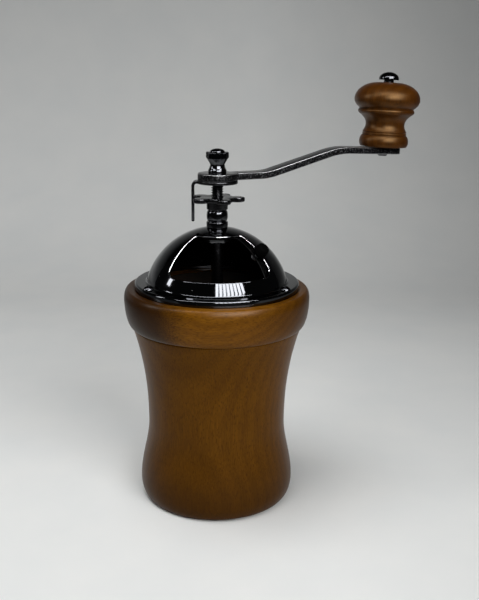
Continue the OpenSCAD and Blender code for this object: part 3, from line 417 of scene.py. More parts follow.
def end_tree(tree, geometry, finish):
    """Ends a geometry tree: its copies become real and take their material."""
    whole = add(tree, "GeometryNodeRealizeInstances", {0: geometry})
    painted = add(tree, "GeometryNodeSetMaterial", {"Geometry": whole, "Material": finish})
    add(tree, "NodeGroupOutput", {0: painted})


coil = bpy.data.node_groups.new("wound coil", "GeometryNodeTree")
wanted = sockets(coil, ("Geometry", "Geometry"), ("Turns", "Float"), ("Radius", "Float"), ("Rise", "Float"),
                 ("Wire", "Float"), ("Start", "Vector"), ("Corners", "Int"), ("Finish", "Material"))
path = add(coil, "GeometryNodeCurveSpiral", {
    "Resolution": 40, "Rotations": wanted["Turns"], "Start Radius": wanted["Radius"],
    "End Radius": wanted["Radius"], "Height": wanted["Rise"]})
section = add(coil, "GeometryNodeCurvePrimitiveCircle", {
    "Resolution": wanted["Corners"], "Radius": wanted["Wire"]})
tube = add(coil, "GeometryNodeCurveToMesh", {"Curve": path, "Profile Curve": section, "Fill Caps": True})
raised = add(coil, "GeometryNodeTransform", {"Geometry": tube, "Translation": wanted["Start"]})
both = add(coil, "GeometryNodeJoinGeometry", {0: raised})
coil.links.new(wanted["Geometry"], both.inputs[0])
end_tree(coil, both, wanted["Finish"])

spring_steel = plain_metal("spring steel wire", "#7e8083", "#a8aaad", 0.26, 2.0)
spring = smooth(bmesh.new(), "burr_spring_coil")
grown(spring, coil, turns=float(SPRING_TURNS), radius=SPRING_R / 1000, rise=SPRING_H / 1000,
      wire=SPRING_WIRE / 2000, start=(0, 0, SPRING_Z / 1000), corners=10, finish=spring_steel)
fit(spring, spring_steel, "bare_steel", "crank_unit", "burr_spring")

# Dome: the bean hopper, pressed from 1 mm steel sheet with an upright wall, a flange and a rolled
# rim, then black-nickel plated and polished. The opening for the beans is cut out of its front.
DOME_R, DOME_Z, SHEET_T = 36.5, 104.5, 1.0
DOME_HOLE_R = 4.04
WALL_R, FLANGE_R, FLANGE_Z = 35.19, 41.09, 114.0
OPENING_LEFT, OPENING_RIGHT = -47.0, 54.0
OPENING_TOP_R, SILL_Z = 13.6, 120.7
TOP_CORNER, SILL_CORNER = (9.0, 2.4), (9.0, 8.0)


def pressed(name, rows, columns, keep, corners, thickness):
    """A sheet on (radius, height) rows and columns in degrees from the front, open where keep says
    so, given its thickness inwards and a soft cut edge. At each inner corner the edge's points move
    on to an ellipse that reaches so many degrees along the row and along the column."""
    count = len(columns)
    polar = [math.degrees(math.atan2(radius, height - DOME_Z)) for radius, height in rows]
    spots = {(i, j): (*row, column) for i, row in enumerate(rows) for j, column in enumerate(columns)}
    for i, j, down, along, wide, high in corners:
        moved = []
        for k in range(8):
            here = (j + along * k) % count
            off = abs((columns[here] - columns[j] + 180) % 360 - 180)
            rise = abs(polar[i + down * k] - polar[i])
            if off < wide:
                moved.append((i, here, 0.5 - off / wide / 2))
            if 0 < rise < high:
                moved.append((i + down * k, j, 0.5 + rise / high / 2))
        reach = math.dist(rows[i], (0, DOME_Z))
        for row, column, share in moved:
            a = math.pi / 2 * share
            low = math.radians(polar[i] + down * high * (1 - math.cos(a)))
            spots[row, column] = (reach * math.sin(low), DOME_Z + reach * math.cos(low),
                                  columns[j] + along * wide * (1 - math.sin(a)))
    skin = bmesh.new()
    grid = {}
    for key, (radius, height, degrees) in spots.items():
        a = math.radians(degrees - 90)
        grid[key] = skin.verts.new((radius * math.cos(a), radius * math.sin(a), height))
    for i in range(len(rows) - 1):
        for j in range(count):
            if keep(i, j):
                after = (j + 1) % count
                skin.faces.new((grid[i, j], grid[i + 1, j], grid[i + 1, after], grid[i, after]))
    loose = [v for v in skin.verts if not v.link_faces]
    bmesh.ops.delete(skin, geom=loose, context="VERTS")
    piece = smooth(skin, name, crease=180)
    wall = piece.modifiers.new("sheet", "SOLIDIFY")
    wall.thickness, wall.offset, wall.use_even_offset = thickness / 1000, -1.0, True
    edge = piece.modifiers.new("cut edge", "BEVEL")
    edge.width, edge.segments = 0.46 * thickness / 1000, 4
    edge.limit_method, edge.angle_limit = "ANGLE", math.radians(50)
    shading = piece.modifiers.new("shading", "WEIGHTED_NORMAL")
    shading.keep_sharp = True
    return piece


def sphere(radius, low, high, count):
    """Points in mm on the dome's sphere between two angles from the top."""
    return arc((0, DOME_Z), (radius, radius), 90 - low, 90 - high, count)


def spread(start, end, step):
    """Angles from start up to just before end, about one step apart."""
    count = max(1, round((end - start) / step))
    return [start + (end - start) * i / count for i in range(count)]


top_polar = math.degrees(math.asin(OPENING_TOP_R / DOME_R))
sill_polar = math.degrees(math.acos((SILL_Z - DOME_Z) / DOME_R))
hole_polar = math.degrees(math.asin(DOME_HOLE_R / DOME_R))
crown = sphere(DOME_R, hole_polar, top_polar, 8)
front = sphere(DOME_R, top_polar, sill_polar, 20)[1:]
foot_polar = math.degrees(math.asin(WALL_R / DOME_R)) - 3
skirt = rounded(sphere(DOME_R, sill_polar, foot_polar, 8)
                + [(WALL_R, FLANGE_Z, 1.2), (FLANGE_R, FLANGE_Z, 1.1), (FLANGE_R, SEAT_Z)], 6)[1:]
dome_rows = crown + front + skirt
dome_columns = spread(OPENING_LEFT, OPENING_RIGHT, 2.5) + spread(OPENING_RIGHT, OPENING_LEFT + 360, 2.5)
right_column = dome_columns.index(OPENING_RIGHT)
first_open, last_open = len(crown) - 1, len(crown) + len(front) - 1
dome = pressed("hopper_dome_sheet", dome_rows, dome_columns,
               lambda i, j: not (first_open <= i < last_open and j < right_column),
               [(first_open, 0, 1, 1, *TOP_CORNER), (first_open, right_column, 1, -1, *TOP_CORNER),
                (last_open, 0, -1, 1, *SILL_CORNER), (last_open, right_column, -1, -1, *SILL_CORNER)],
               SHEET_T)


def black_nickel_plate(name, tone, rough):
    """Bright black nickel over polished steel: a dark mirror with a trace of polishing lines,
    hazy finger marks, and a little pale dust."""
    material, tree = blank(name)
    place = add(tree, "ShaderNodeTexCoord").outputs["Object"]
    # hazy finger marks over some 14 mm
    marks = add(tree, "ShaderNodeTexNoise", {"Vector": place, "Scale": 1 / 0.014, "Detail": 5.0})
    haze = add(tree, "ShaderNodeMapRange", {"Value": marks, "From Min": 0.42, "From Max": 0.75,
               "To Min": rough, "To Max": rough + 0.07})
    # dust specks 0.3 mm across, one in about 4 mm, drawn larger than real dust so that they show
    dust_cells = add(tree, "ShaderNodeTexVoronoi", {"Vector": place, "Scale": 1 / 0.004})
    dust = add(tree, "ShaderNodeMapRange", {"Value": dust_cells, "From Min": 0.05, "From Max": 0.03})
    # polishing ripple of about 9 mm
    ripple = add(tree, "ShaderNodeTexNoise", {"Vector": place, "Scale": 1 / 0.009, "Detail": 1.0})
    relief = add(tree, "ShaderNodeBump", {"Height": ripple, "Strength": 0.03, "Distance": 0.0002})
    dusty = add(tree, "ShaderNodeMath", {0: dust, 1: 0.5, 2: haze}, operation="MULTIPLY_ADD")
    # the hopper's inside, and the door that lies there, is left unpolished and painted dark as shade
    reach = add(tree, "ShaderNodeVectorMath", {0: place, 1: (0, 0, DOME_Z / 1000)}, operation="DISTANCE")
    inside = add(tree, "ShaderNodeMath", {0: reach, 1: (DOME_R - 0.4) / 1000}, operation="LESS_THAN")
    plate = add(tree, "ShaderNodeMix", {0: inside, 6: tone, 7: "#101010"}, data_type="RGBA")
    # the plating is thin and bright on the sheet's rounded cut edge
    edge = add(tree, "ShaderNodeMath", {0: reach, 1: (DOME_R - 0.26) / 1000, 2: 0.12 / 1000},
               operation="COMPARE")
    edged = add(tree, "ShaderNodeMix", {0: edge, 6: plate, 7: "#c4c4c6"}, data_type="RGBA")
    colour = add(tree, "ShaderNodeMix", {0: dust, 6: edged, 7: "#9a9a98"}, data_type="RGBA")
    dulled = add(tree, "ShaderNodeMath", {0: inside, 1: 0.4, 2: dusty}, operation="MULTIPLY_ADD")
    shader = add(tree, "ShaderNodeBsdfPrincipled", {"Base Color": colour, "Metallic": 1.0,
                 "Roughness": dulled, "Normal": relief})
    add(tree, "ShaderNodeOutputMaterial", {0: shader})
    return material


black_nickel = black_nickel_plate("polished black nickel", "#494a4d", 0.04)
fit(dome, black_nickel, "black_nickel", "upper_unit", "hopper_dome")

# Flange screws: three domed black-nickel wood screws with cross recesses hold the dome on the collar.
# Each one stops at its own angle.
SCREW_R, SCREW_L, SCREW_HEAD_R, SCREW_HEAD_H = 1.25, 10.0, 2.6, 1.8
SCREW_PITCH_R, SCREW_AZ = 37.99, 60.0
CROSS_BAR = (2.5, 0.5, 1.5)
head_round = (SCREW_HEAD_R ** 2 + SCREW_HEAD_H ** 2) / (2 * SCREW_HEAD_H)
head_start = math.degrees(math.acos(SCREW_HEAD_R / head_round))
shank = [(0, -SCREW_L), (0.4, -SCREW_L + 0.3), (SCREW_R, -SCREW_L + 2.5), (SCREW_R, 0),
         (SCREW_HEAD_R, 0, 0.12)]
head = arc((0, SCREW_HEAD_H - head_round), (head_round, head_round), head_start + 4, 90, 8)
screw = turned("one_screw", rounded(shank) + head, sides=48)
recess = bmesh.new()
for turn in (0, math.pi / 2):
    bar = Matrix.Rotation(turn, 4, "Z") @ Matrix.Diagonal((*CROSS_BAR, 1))
    bmesh.ops.create_cube(recess, size=1.0, matrix=Matrix.Translation((0, 0, SCREW_HEAD_H)) @ bar)
cutter = smooth(recess, "cross_recess")
cut = screw.modifiers.new("recess", "BOOLEAN")
cut.object, cut.operation, cut.solver = cutter, "DIFFERENCE", "EXACT"
cut.use_self = True
screw.data = bpy.data.meshes.new_from_object(screw.evaluated_get(bpy.context.evaluated_depsgraph_get()))
screw.modifiers.clear()
bpy.data.objects.remove(cutter)
# slivers that the cut leaves
cleaned = bmesh.new()
cleaned.from_mesh(screw.data)
bmesh.ops.remove_doubles(cleaned, verts=cleaned.verts, dist=1e-6)
cleaned.to_mesh(screw.data)
cleaned.free()

seats = bmesh.new()
for degrees in (-SCREW_AZ, SCREW_AZ, 180.0):
    a = math.radians(degrees - 90)
    seats.verts.new((SCREW_PITCH_R * math.cos(a), SCREW_PITCH_R * math.sin(a), FLANGE_Z))
flange_screws = smooth(seats, "flange_screw_set")
driven = bpy.data.node_groups.new("driven screws", "GeometryNodeTree")
wanted = sockets(driven, ("Geometry", "Geometry"), ("Screw", "Object"), ("Seed", "Int"),
                 ("Finish", "Material"))
pattern = add(driven, "GeometryNodeObjectInfo", {"Object": wanted["Screw"]})
stop = add(driven, "FunctionNodeRandomValue", {"Seed": wanted["Seed"], 2: 0.0, 3: math.pi}, data_type="FLOAT")
spin = add(driven, "FunctionNodeAxisAngleToRotation", {"Axis": (0, 0, 1), "Angle": stop})
copies = add(driven, "GeometryNodeInstanceOnPoints", {
    "Points": wanted["Geometry"], "Instance": pattern.outputs["Geometry"], "Rotation": spin})
end_tree(driven, copies, wanted["Finish"])
grown(flange_screws, driven, screw=screw, seed=7, finish=black_nickel)
bpy.data.objects.remove(screw)
fit(flange_screws, black_nickel, "black_nickel", "upper_unit",
    "flange_screw_1", "flange_screw_2", "flange_screw_3")

# Door: a shell pressed to the same sphere, which turns round the column's sleeve just inside the
# dome. Black-nickel plated like the dome. Here it stands open, behind the dome's right side.
DOOR_R, DOOR_T = 35.15, 0.8
DOOR_PIVOT_R, DOOR_HUB_R, DOOR_BOTTOM_Z = 4.06, 12.6, 119.6
DOOR_EDGE, DOOR_SPAN, DOOR_CORNER = 46.72, 103.0, (6.0, 4.0)
pivot_polar = math.degrees(math.asin(DOOR_PIVOT_R / DOOR_R))
hub_polar = math.degrees(math.asin(DOOR_HUB_R / DOOR_R))
bottom_polar = math.degrees(math.acos((DOOR_BOTTOM_Z - DOME_Z) / DOOR_R))
hub = sphere(DOOR_R, pivot_polar, hub_polar, 6)
leaf = sphere(DOOR_R, hub_polar, bottom_polar, 20)[1:]
door_columns = spread(DOOR_EDGE, DOOR_EDGE + DOOR_SPAN, 2.5)
door_end = len(door_columns)
door_columns += spread(DOOR_EDGE + DOOR_SPAN, DOOR_EDGE + 360, 2.5)
door = pressed("hopper_door_shell", hub + leaf, door_columns, lambda i, j: i < len(hub) - 1 or j < door_end,
               [(len(hub) - 1, door_end, 1, 1, *DOOR_CORNER), (len(hub) - 1, 0, 1, -1, *DOOR_CORNER)], DOOR_T)
fit(door, black_nickel, "black_nickel", "door_unit", "hopper_door")

# Door knob: a small moulded button of black phenolic, riveted through the door's shell.
# It tapers a little to a flat end with a rounded rim.
DOOR_KNOB_R, DOOR_KNOB_L, DOOR_KNOB_POLAR, DOOR_KNOB_AZ = 3.25, 5.0, 44.0, 50.86
KNOB_FOOT = DOME_R + 0.35
square_to_dome = (Matrix.Translation((0, 0, DOME_Z / 1000))
                  @ Matrix.Rotation(math.radians(DOOR_KNOB_AZ - 90), 4, "Z")
                  @ Matrix.Rotation(math.radians(DOOR_KNOB_POLAR), 4, "Y"))
door_knob = turned("door_knob_button", rounded(
    [(0, KNOB_FOOT), (DOOR_KNOB_R - 0.5, KNOB_FOOT, 0.2), (DOOR_KNOB_R, KNOB_FOOT + 1.2, 0.6),
     (DOOR_KNOB_R, KNOB_FOOT + 3.0, 0.5), (DOOR_KNOB_R - 0.5, KNOB_FOOT + DOOR_KNOB_L, 0.8),
     (0, KNOB_FOOT + DOOR_KNOB_L)]), sides=64)
door_knob.data.transform(square_to_dome)
# mould texture of 0.5 mm, which takes away nearly all shine
phenolic = grained("matt black phenolic", 0.5, 3.0, "#020202", "#060606", (0.6, 0.8), 0.15,
                   {"Specular IOR Level": 0.02})
fit(door_knob, phenolic, "black_plastic", "door_unit", "door_knob")

# Bearing column: turned from steel with a flange and a ball, black-nickel plated. Its sleeve goes
# through the dome and the door, and a washer and a nut hold them underneath.
COLUMN_Z, COLUMN_H, COLUMN_BASE_R, COLUMN_BASE_H = 140.82, 8.7, 5.3, 2.9
SLEEVE_R, BEARING_R, BEARING_SEAM_Z = 4.0, 3.06, 140.0
NECK_R, BALL_R = 4.45, 5.25
SLEEVE_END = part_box("bearing_column")[0].z * 1000
base_top, column_top = COLUMN_Z + COLUMN_BASE_H, COLUMN_Z + COLUMN_H
ball_z = base_top + (COLUMN_H - COLUMN_BASE_H) * 0.5
ball = arc((NECK_R, ball_z), (BALL_R - NECK_R, (COLUMN_H - COLUMN_BASE_H) * 0.45), -90, 90, 14)
sleeve = [(BEARING_R, BEARING_SEAM_Z), (BEARING_R, SLEEVE_END, 0.2), (SLEEVE_R, SLEEVE_END, 0.3),
          (SLEEVE_R, COLUMN_Z)]
foot = [(COLUMN_BASE_R, COLUMN_Z, 0.3), (COLUMN_BASE_R, base_top, 0.5), (NECK_R, base_top, 0.15)]
mouth = [(NECK_R, column_top, 0.2), (BEARING_R, column_top, 0.2), (BEARING_R, BEARING_SEAM_Z)]
column = turned("bearing_column_turned", rounded(sleeve + foot + ball + mouth), sides=96)
turned_nickel = black_nickel_plate("turned black nickel", "#4e4f52", 0.08)
fit(column, turned_nickel, "black_nickel", "upper_unit", "bearing_column")

# Shaft: a 6 mm steel rod through the bearings down to the inner burr. Its upper end is threaded for
# the adjuster and the thumb nut, and dark plated.
SHAFT_Z, SHAFT_TOP, THREAD_Z, THREAD_PITCH, THREAD_DEPTH = 65.8, 177.4, 149.64, 1.17, 0.7
dark_steel = plain_metal("dark plated steel", "#363638", "#515153", 0.22, 0.7)


def thread(radius, angle, height):
    """A rolled thread with rounded crests, which runs in over its first turn."""
    if radius < SHAFT_R or height < THREAD_Z or height > SHAFT_TOP - 0.6:
        return radius
    groove = 0.5 + 0.5 * math.cos(2 * math.pi * (height - THREAD_Z) / THREAD_PITCH - angle)
    return radius - THREAD_DEPTH * groove * min(1.0, (height - THREAD_Z) / THREAD_PITCH)


crests = [(SHAFT_R, THREAD_Z + (SHAFT_TOP - 0.5 - THREAD_Z) * i / 300) for i in range(301)]
shaft = turned("shaft_rod", [(0, SHAFT_Z), (SHAFT_R - 0.4, SHAFT_Z), (SHAFT_R, SHAFT_Z + 0.4)] + crests
               + [(SHAFT_R - 0.4, SHAFT_TOP), (0, SHAFT_TOP)], sides=64, shape=thread, crease=60)
fit(shaft, dark_steel, "plated_steel", "crank_unit", "shaft")

# Adjuster: a hub and a plate with five lobes, pressed and tumbled, screwed on the thread above the
# column. Turning it sets the burrs' gap.
ADJUSTER_Z, HUB_R, PLATE_Z, PLATE_TOP, NUT_SEAM_Z = 149.64, 5.2, 153.54, 155.74, 152.0
LOBE_COUNT, LOBE_REACH, LOBE_R, VALLEY_R = 5, 10.2, 3.3, 8.6
CRANK_REST, TAB_TURN = 24.0, 156.0
LOBE_TURN = math.radians(CRANK_REST + TAB_TURN + 180 / LOBE_COUNT)
PLATE_R = LOBE_REACH + LOBE_R


def lobes(radius, angle, height):
    """The plate's edge follows five round lobes, with the valleys between them rounded out."""
    if radius < HUB_R + 0.6:
        return radius
    off = (angle - LOBE_TURN + math.pi / LOBE_COUNT) % (2 * math.pi / LOBE_COUNT) - math.pi / LOBE_COUNT
    side = LOBE_REACH * math.sin(abs(off))
    edge = VALLEY_R
    if side < LOBE_R:
        edge = max(edge, LOBE_REACH * math.cos(off) + math.sqrt(LOBE_R ** 2 - side ** 2))
    return edge - (PLATE_R - radius)


adjuster = turned("adjuster_lobed_nut", rounded(
    [(SHAFT_BORE_R, NUT_SEAM_Z), (SHAFT_BORE_R, ADJUSTER_Z, 0.2), (HUB_R, ADJUSTER_Z, 0.4),
     (HUB_R, PLATE_Z, 0.1), (PLATE_R, PLATE_Z, 0.6), (PLATE_R, PLATE_TOP, 0.6),
     (SHAFT_BORE_R, PLATE_TOP, 0.2), (SHAFT_BORE_R, NUT_SEAM_Z)]), sides=288, shape=lobes, crease=40)
fit(adjuster, dark_steel, "plated_steel", "crank_unit", "adjuster_nut")

# Stopper: a washer of thick sheet under the crank's eye, with a tab bent down between two lobes, so
# that the adjuster can't turn by itself. Stamped, bent and dark plated.
STOPPER_Z, STOPPER_T, STOPPER_R = 162.34, 1.46, 10.0
TAB_W, TAB_REACH, TAB_BEND, TAB_END_Z = 4.99, 12.6, 2.6, 143.84


def flat_bar(name, half_outline, stretches, thickness, edge, turn, level):
    """A flat bar with rounded edges from half its plan, (length, half width) points from tip to tip.
    It follows (length, turn in degrees) stretches from the axis, with its top face at the given level."""
    def along(s):
        x, z, pitch = 0.0, 0.0, 0.0
        if s <= 0:
            return s, 0.0, 0.0
        for length, bend in stretches:
            step = min(s, length)
            swing = math.radians(bend) * step / length
            chord = step if abs(swing) < 1e-9 else step * math.sin(swing / 2) / (swing / 2)
            x += chord * math.cos(pitch + swing / 2)
            z += chord * math.sin(pitch + swing / 2)
            pitch += swing
            s -= step
            if s <= 1e-9:
                break
        return x, z, pitch

    skin = bmesh.new()
    count = len(half_outline)
    loops = []
    corner = [math.pi / 2 * k / 4 for k in range(5)]
    section = [(edge * (1 - math.sin(a)), edge * (1 - math.cos(a))) for a in corner]
    levels = section + [(inset, thickness - depth) for inset, depth in section[::-1]]
    for inset, depth in levels:
        side = []
        for k, (s, w) in enumerate(half_outline):
            before, after = half_outline[max(k - 1, 0)], half_outline[min(k + 1, count - 1)]
            if k in (0, count - 1):
                side.append((s + (inset if k == 0 else -inset), 0.0))
                continue
            run = Vector((after[0] - before[0], after[1] - before[1])).normalized()
            side.append((s + run.y * inset, max(w - run.x * inset, 0.02)))
        ring = [(s, w) for s, w in side] + [(s, -w) for s, w in side[-2:0:-1]]
        loop = []
        for s, w in ring:
            x, z, pitch = along(s)
            x, z = x + depth * math.sin(pitch), z - depth * math.cos(pitch)
            loop.append(skin.verts.new((x, w, level + z)))
        loops.append(loop)
    around = len(loops[0])
    for upper, lower in zip(loops, loops[1:]):
        for k in range(around):
            skin.faces.new((upper[k], upper[(k + 1) % around], lower[(k + 1) % around], lower[k]))
    for loop in (loops[0], loops[-1]):
        for k in range(count - 1):
            left, right = loop[k], loop[(around - k) % around]
            left_next, right_next = loop[k + 1], loop[(around - k - 1) % around]
            skin.faces.new(list(dict.fromkeys((left, left_next, right_next, right))))
    bmesh.ops.recalc_face_normals(skin, faces=skin.faces)
    bmesh.ops.rotate(skin, matrix=Matrix.Rotation(math.radians(turn), 3, "Z"), verts=skin.verts)
    return smooth(skin, name, crease=50)


tab_start = math.sqrt(STOPPER_R ** 2 - (TAB_W / 2) ** 2)
tab_straight = TAB_REACH - TAB_BEND
tab_length = STOPPER_Z + STOPPER_T - TAB_BEND - TAB_END_Z
tab_end = tab_straight + TAB_BEND * math.pi / 2 + tab_length
disc = [(-STOPPER_R * math.cos(a), STOPPER_R * math.sin(a)) for a in
        [(math.pi - math.asin(TAB_W / 2 / STOPPER_R)) * i / 40 for i in range(41)]]
tongue = [(tab_start + (tab_straight - tab_start) * 0.9, TAB_W / 2)]
tongue += [(tab_straight + TAB_BEND * math.pi / 2 * i / 10, TAB_W / 2) for i in range(11)]
tongue += [(tab_end - 0.9, TAB_W / 2), (tab_end - 0.4, TAB_W / 2 - 0.25), (tab_end - 0.1, TAB_W / 2 - 0.7),
           (tab_end, 0.0)]
stopper = flat_bar("stopper_washer", disc + tongue,
                   [(tab_straight, 0.0), (TAB_BEND * math.pi / 2, -90.0), (tab_length, 0.0)],
                   STOPPER_T, 0.35, CRANK_REST + TAB_TURN, STOPPER_Z + STOPPER_T)
fit(stopper, dark_steel, "plated_steel", "crank_unit", "stopper_plate")

# Crank arm: a flat steel bar with a round eye, bent twice so that the knob stands higher.
# Blanked, bent, tumbled and dark plated, with a fine pitted skin and edges that catch the light.
ARM_TOP, ARM_T, ARM_W, EYE_R = 167.34, 3.5, 8.6, 9.6
ARM_LEVEL, ARM_RISE, ARM_SLOPE, ARM_DROOP, ARM_END, ARM_TAIL = 22.0, 15.0, 31.5, 2.4, 22.3, 10.2
BEND_1, BEND_2 = 30.0, 45.0
bend_1_l, bend_2_l = BEND_1 * math.radians(ARM_RISE), BEND_2 * math.radians(ARM_RISE + ARM_DROOP)
arm_end = ARM_LEVEL + bend_1_l + ARM_SLOPE + bend_2_l + ARM_END + ARM_TAIL
eye = [(-EYE_R * math.cos(a), EYE_R * math.sin(a)) for a in
       [(math.pi - math.asin(ARM_W / 2 / EYE_R)) * i / 36 for i in range(37)]]
eye_end = eye[-1][0]
bar = [(eye_end + (arm_end - ARM_W / 2 - eye_end) * i / 80, ARM_W / 2) for i in range(1, 80)]
tip = [(arm_end - ARM_W / 2 + ARM_W / 2 * math.sin(a), ARM_W / 2 * math.cos(a)) for a in
       [math.pi / 2 * i / 14 for i in range(15)]]
tip[-1] = (arm_end, 0.0)
arm = flat_bar("crank_arm_bar", eye + bar + tip,
               [(ARM_LEVEL, 0.0), (bend_1_l, ARM_RISE), (ARM_SLOPE, 0.0), (bend_2_l, -ARM_RISE - ARM_DROOP),
                (ARM_END + ARM_TAIL + 1, 0.0)], ARM_T, 0.5, CRANK_REST, ARM_TOP)
arm_steel, tree = blank("tumbled plated steel")
place = add(tree, "ShaderNodeTexCoord").outputs["Object"]
# tumbling pits of about 0.7 mm on the cut faces at the sides, and edges that are worn bright
pits = add(tree, "ShaderNodeTexNoise", {"Vector": place, "Scale": 1 / 0.0007, "Detail": 2.0})
facing = add(tree, "ShaderNodeNewGeometry")
slope = add(tree, "ShaderNodeSeparateXYZ", {0: facing.outputs["True Normal"]})
level = add(tree, "ShaderNodeMath", {0: slope.outputs["Z"]}, operation="ABSOLUTE")
cut_face = add(tree, "ShaderNodeMapRange", {"Value": level, "From Min": 0.75, "From Max": 0.35})
tint = add(tree, "ShaderNodeValToRGB", {"Fac": pits},
           stops=[(0.4, "#1c1c1d"), (0.55, "#343436"), (0.68, "#747476")])
plated = add(tree, "ShaderNodeMix", {0: cut_face, 6: "#4b4b4d", 7: tint}, data_type="RGBA")
over = add(tree, "ShaderNodeMapRange", {"Value": level, "From Min": 0.96, "From Max": 0.88})
under = add(tree, "ShaderNodeMapRange", {"Value": level, "From Min": 0.4, "From Max": 0.5})
worn = add(tree, "ShaderNodeMath", {0: over, 1: under}, operation="MULTIPLY")
colour = add(tree, "ShaderNodeMix", {0: worn, 6: plated, 7: "#a8a8aa"}, data_type="RGBA")
polish = add(tree, "ShaderNodeMapRange", {"Value": cut_face, "To Min": 0.2, "To Max": 0.36})
rough_face = add(tree, "ShaderNodeMath", {0: cut_face, 1: worn}, operation="SUBTRACT", use_clamp=True)
pitted = add(tree, "ShaderNodeMath", {0: rough_face, 1: 0.35}, operation="MULTIPLY")
relief = add(tree, "ShaderNodeBump", {"Height": pits, "Strength": pitted, "Distance": 0.0003})
shader = add(tree, "ShaderNodeBsdfPrincipled", {"Base Color": colour, "Metallic": 1.0, "Roughness": polish,
             "Normal": relief})
add(tree, "ShaderNodeOutputMaterial", {0: shader})
fit(arm, arm_steel, "plated_steel", "crank_unit", "crank_arm")

# Thumb nut: turned from bar with a flared base, a waist, a knurled ring and a domed cap, and
# black-nickel plated. It holds the crank down on the shaft.
THUMB_BASE_R, THUMB_BASE_H, THUMB_NECK_R, THUMB_NECK_H = 4.5, 1.4, 3.55, 4.3
RING_R, RING_Z, RING_H, KNURL_COUNT, KNURL_DEPTH = 5.55, 7.0, 3.2, 36, 0.4
CAP_R, CAP_H = 3.6, 1.6
root_r = RING_R - KNURL_DEPTH
waist = [(THUMB_NECK_R + (THUMB_BASE_R - THUMB_NECK_R) * (1 - i / 8) ** 2,
          ARM_TOP + THUMB_BASE_H + (THUMB_NECK_H - THUMB_BASE_H) * i / 8) for i in range(1, 9)]
ring_low, ring_top, bore_top = ARM_TOP + RING_Z, ARM_TOP + RING_Z + RING_H, SHAFT_TOP + 0.06
cap = arc((0, ring_top), (CAP_R, CAP_H), 0, 90, 10)
flare = [(0, bore_top), (SHAFT_BORE_R, bore_top), (SHAFT_BORE_R, ARM_TOP), (THUMB_BASE_R - 0.2, ARM_TOP, 0.2),
         (THUMB_BASE_R, ARM_TOP + 0.5, 0.3), (THUMB_BASE_R, ARM_TOP + THUMB_BASE_H)]
ring = [(root_r, ring_low, 0.1), (root_r, ring_top - 0.6), (root_r - 0.6, ring_top), (CAP_R, ring_top, 0.1)]
thumb_nut = turned("thumb_nut_turned", rounded(flare + waist + ring + cap[1:]), sides=96)
ridge = turned("one_ridge", [
    (0, RING_Z + 0.05), (KNURL_DEPTH, RING_Z + 0.5), (KNURL_DEPTH, RING_Z + RING_H - 0.8),
    (KNURL_DEPTH - 0.1, RING_Z + RING_H - 0.3), (0, RING_Z + RING_H - 0.05)], sides=8)
ridge.data.transform(Matrix.Translation((0, 0, ARM_TOP / 1000)))
knurl = bpy.data.node_groups.new("knurled ring", "GeometryNodeTree")
wanted = sockets(knurl, ("Geometry", "Geometry"), ("Ridge", "Object"), ("Count", "Int"), ("Radius", "Float"),
                 ("Finish", "Material"))
pattern = add(knurl, "GeometryNodeObjectInfo", {"Object": wanted["Ridge"]})
circle = add(knurl, "GeometryNodeMeshCircle", {"Vertices": wanted["Count"], "Radius": wanted["Radius"]})
copies = add(knurl, "GeometryNodeInstanceOnPoints", {
    "Points": circle, "Instance": pattern.outputs["Geometry"]})
both = add(knurl, "GeometryNodeJoinGeometry", {0: copies})
knurl.links.new(wanted["Geometry"], both.inputs[0])
end_tree(knurl, both, wanted["Finish"])
grown(thumb_nut, knurl, ridge=ridge, count=KNURL_COUNT, radius=root_r / 1000, finish=turned_nickel)
bpy.data.objects.remove(ridge)
fit(thumb_nut, turned_nickel, "black_nickel", "crank_unit", "thumb_nut")

# Knob spindle: a domed black-nickel screw on which the knob turns. Its stem shows above the knob,
# and its end is riveted over under the arm.
KNOB_POS, KNOB_AXIS = Vector((0.087703, 0.039048, 0.177075)), Vector((0.038255, 0.017032, 0.999123))
SPINDLE_R, SPINDLE_HEAD_R, SPINDLE_HEAD_H, SPINDLE_SHOW, SPINDLE_STUB = 2.6, 5.15, 4.0, 1.3, 1.0
SPINDLE_RIM, KNOB_PLAY, KNOB_H = 0.6, 0.4, 32.7
on_arm = Matrix.Translation(KNOB_POS) @ KNOB_AXIS.to_track_quat("Z", "Y").to_matrix().to_4x4()
head_z = KNOB_PLAY + KNOB_H + SPINDLE_SHOW
rivet_z = -ARM_T - SPINDLE_STUB
spindle = turned("knob_spindle_screw", rounded(
    [(0, rivet_z), (SPINDLE_R - 0.5, rivet_z, 0.3), (SPINDLE_R, rivet_z + 0.6, 0.3),
     (SPINDLE_R, head_z, 0.1), (SPINDLE_HEAD_R, head_z, 0.3)])
    + arc((0, head_z + SPINDLE_RIM), (SPINDLE_HEAD_R, SPINDLE_HEAD_H - SPINDLE_RIM), 0, 90, 12), sides=96)
spindle.data.transform(on_arm)
fit(spindle, black_nickel, "black_nickel", "crank_unit", "knob_spindle")

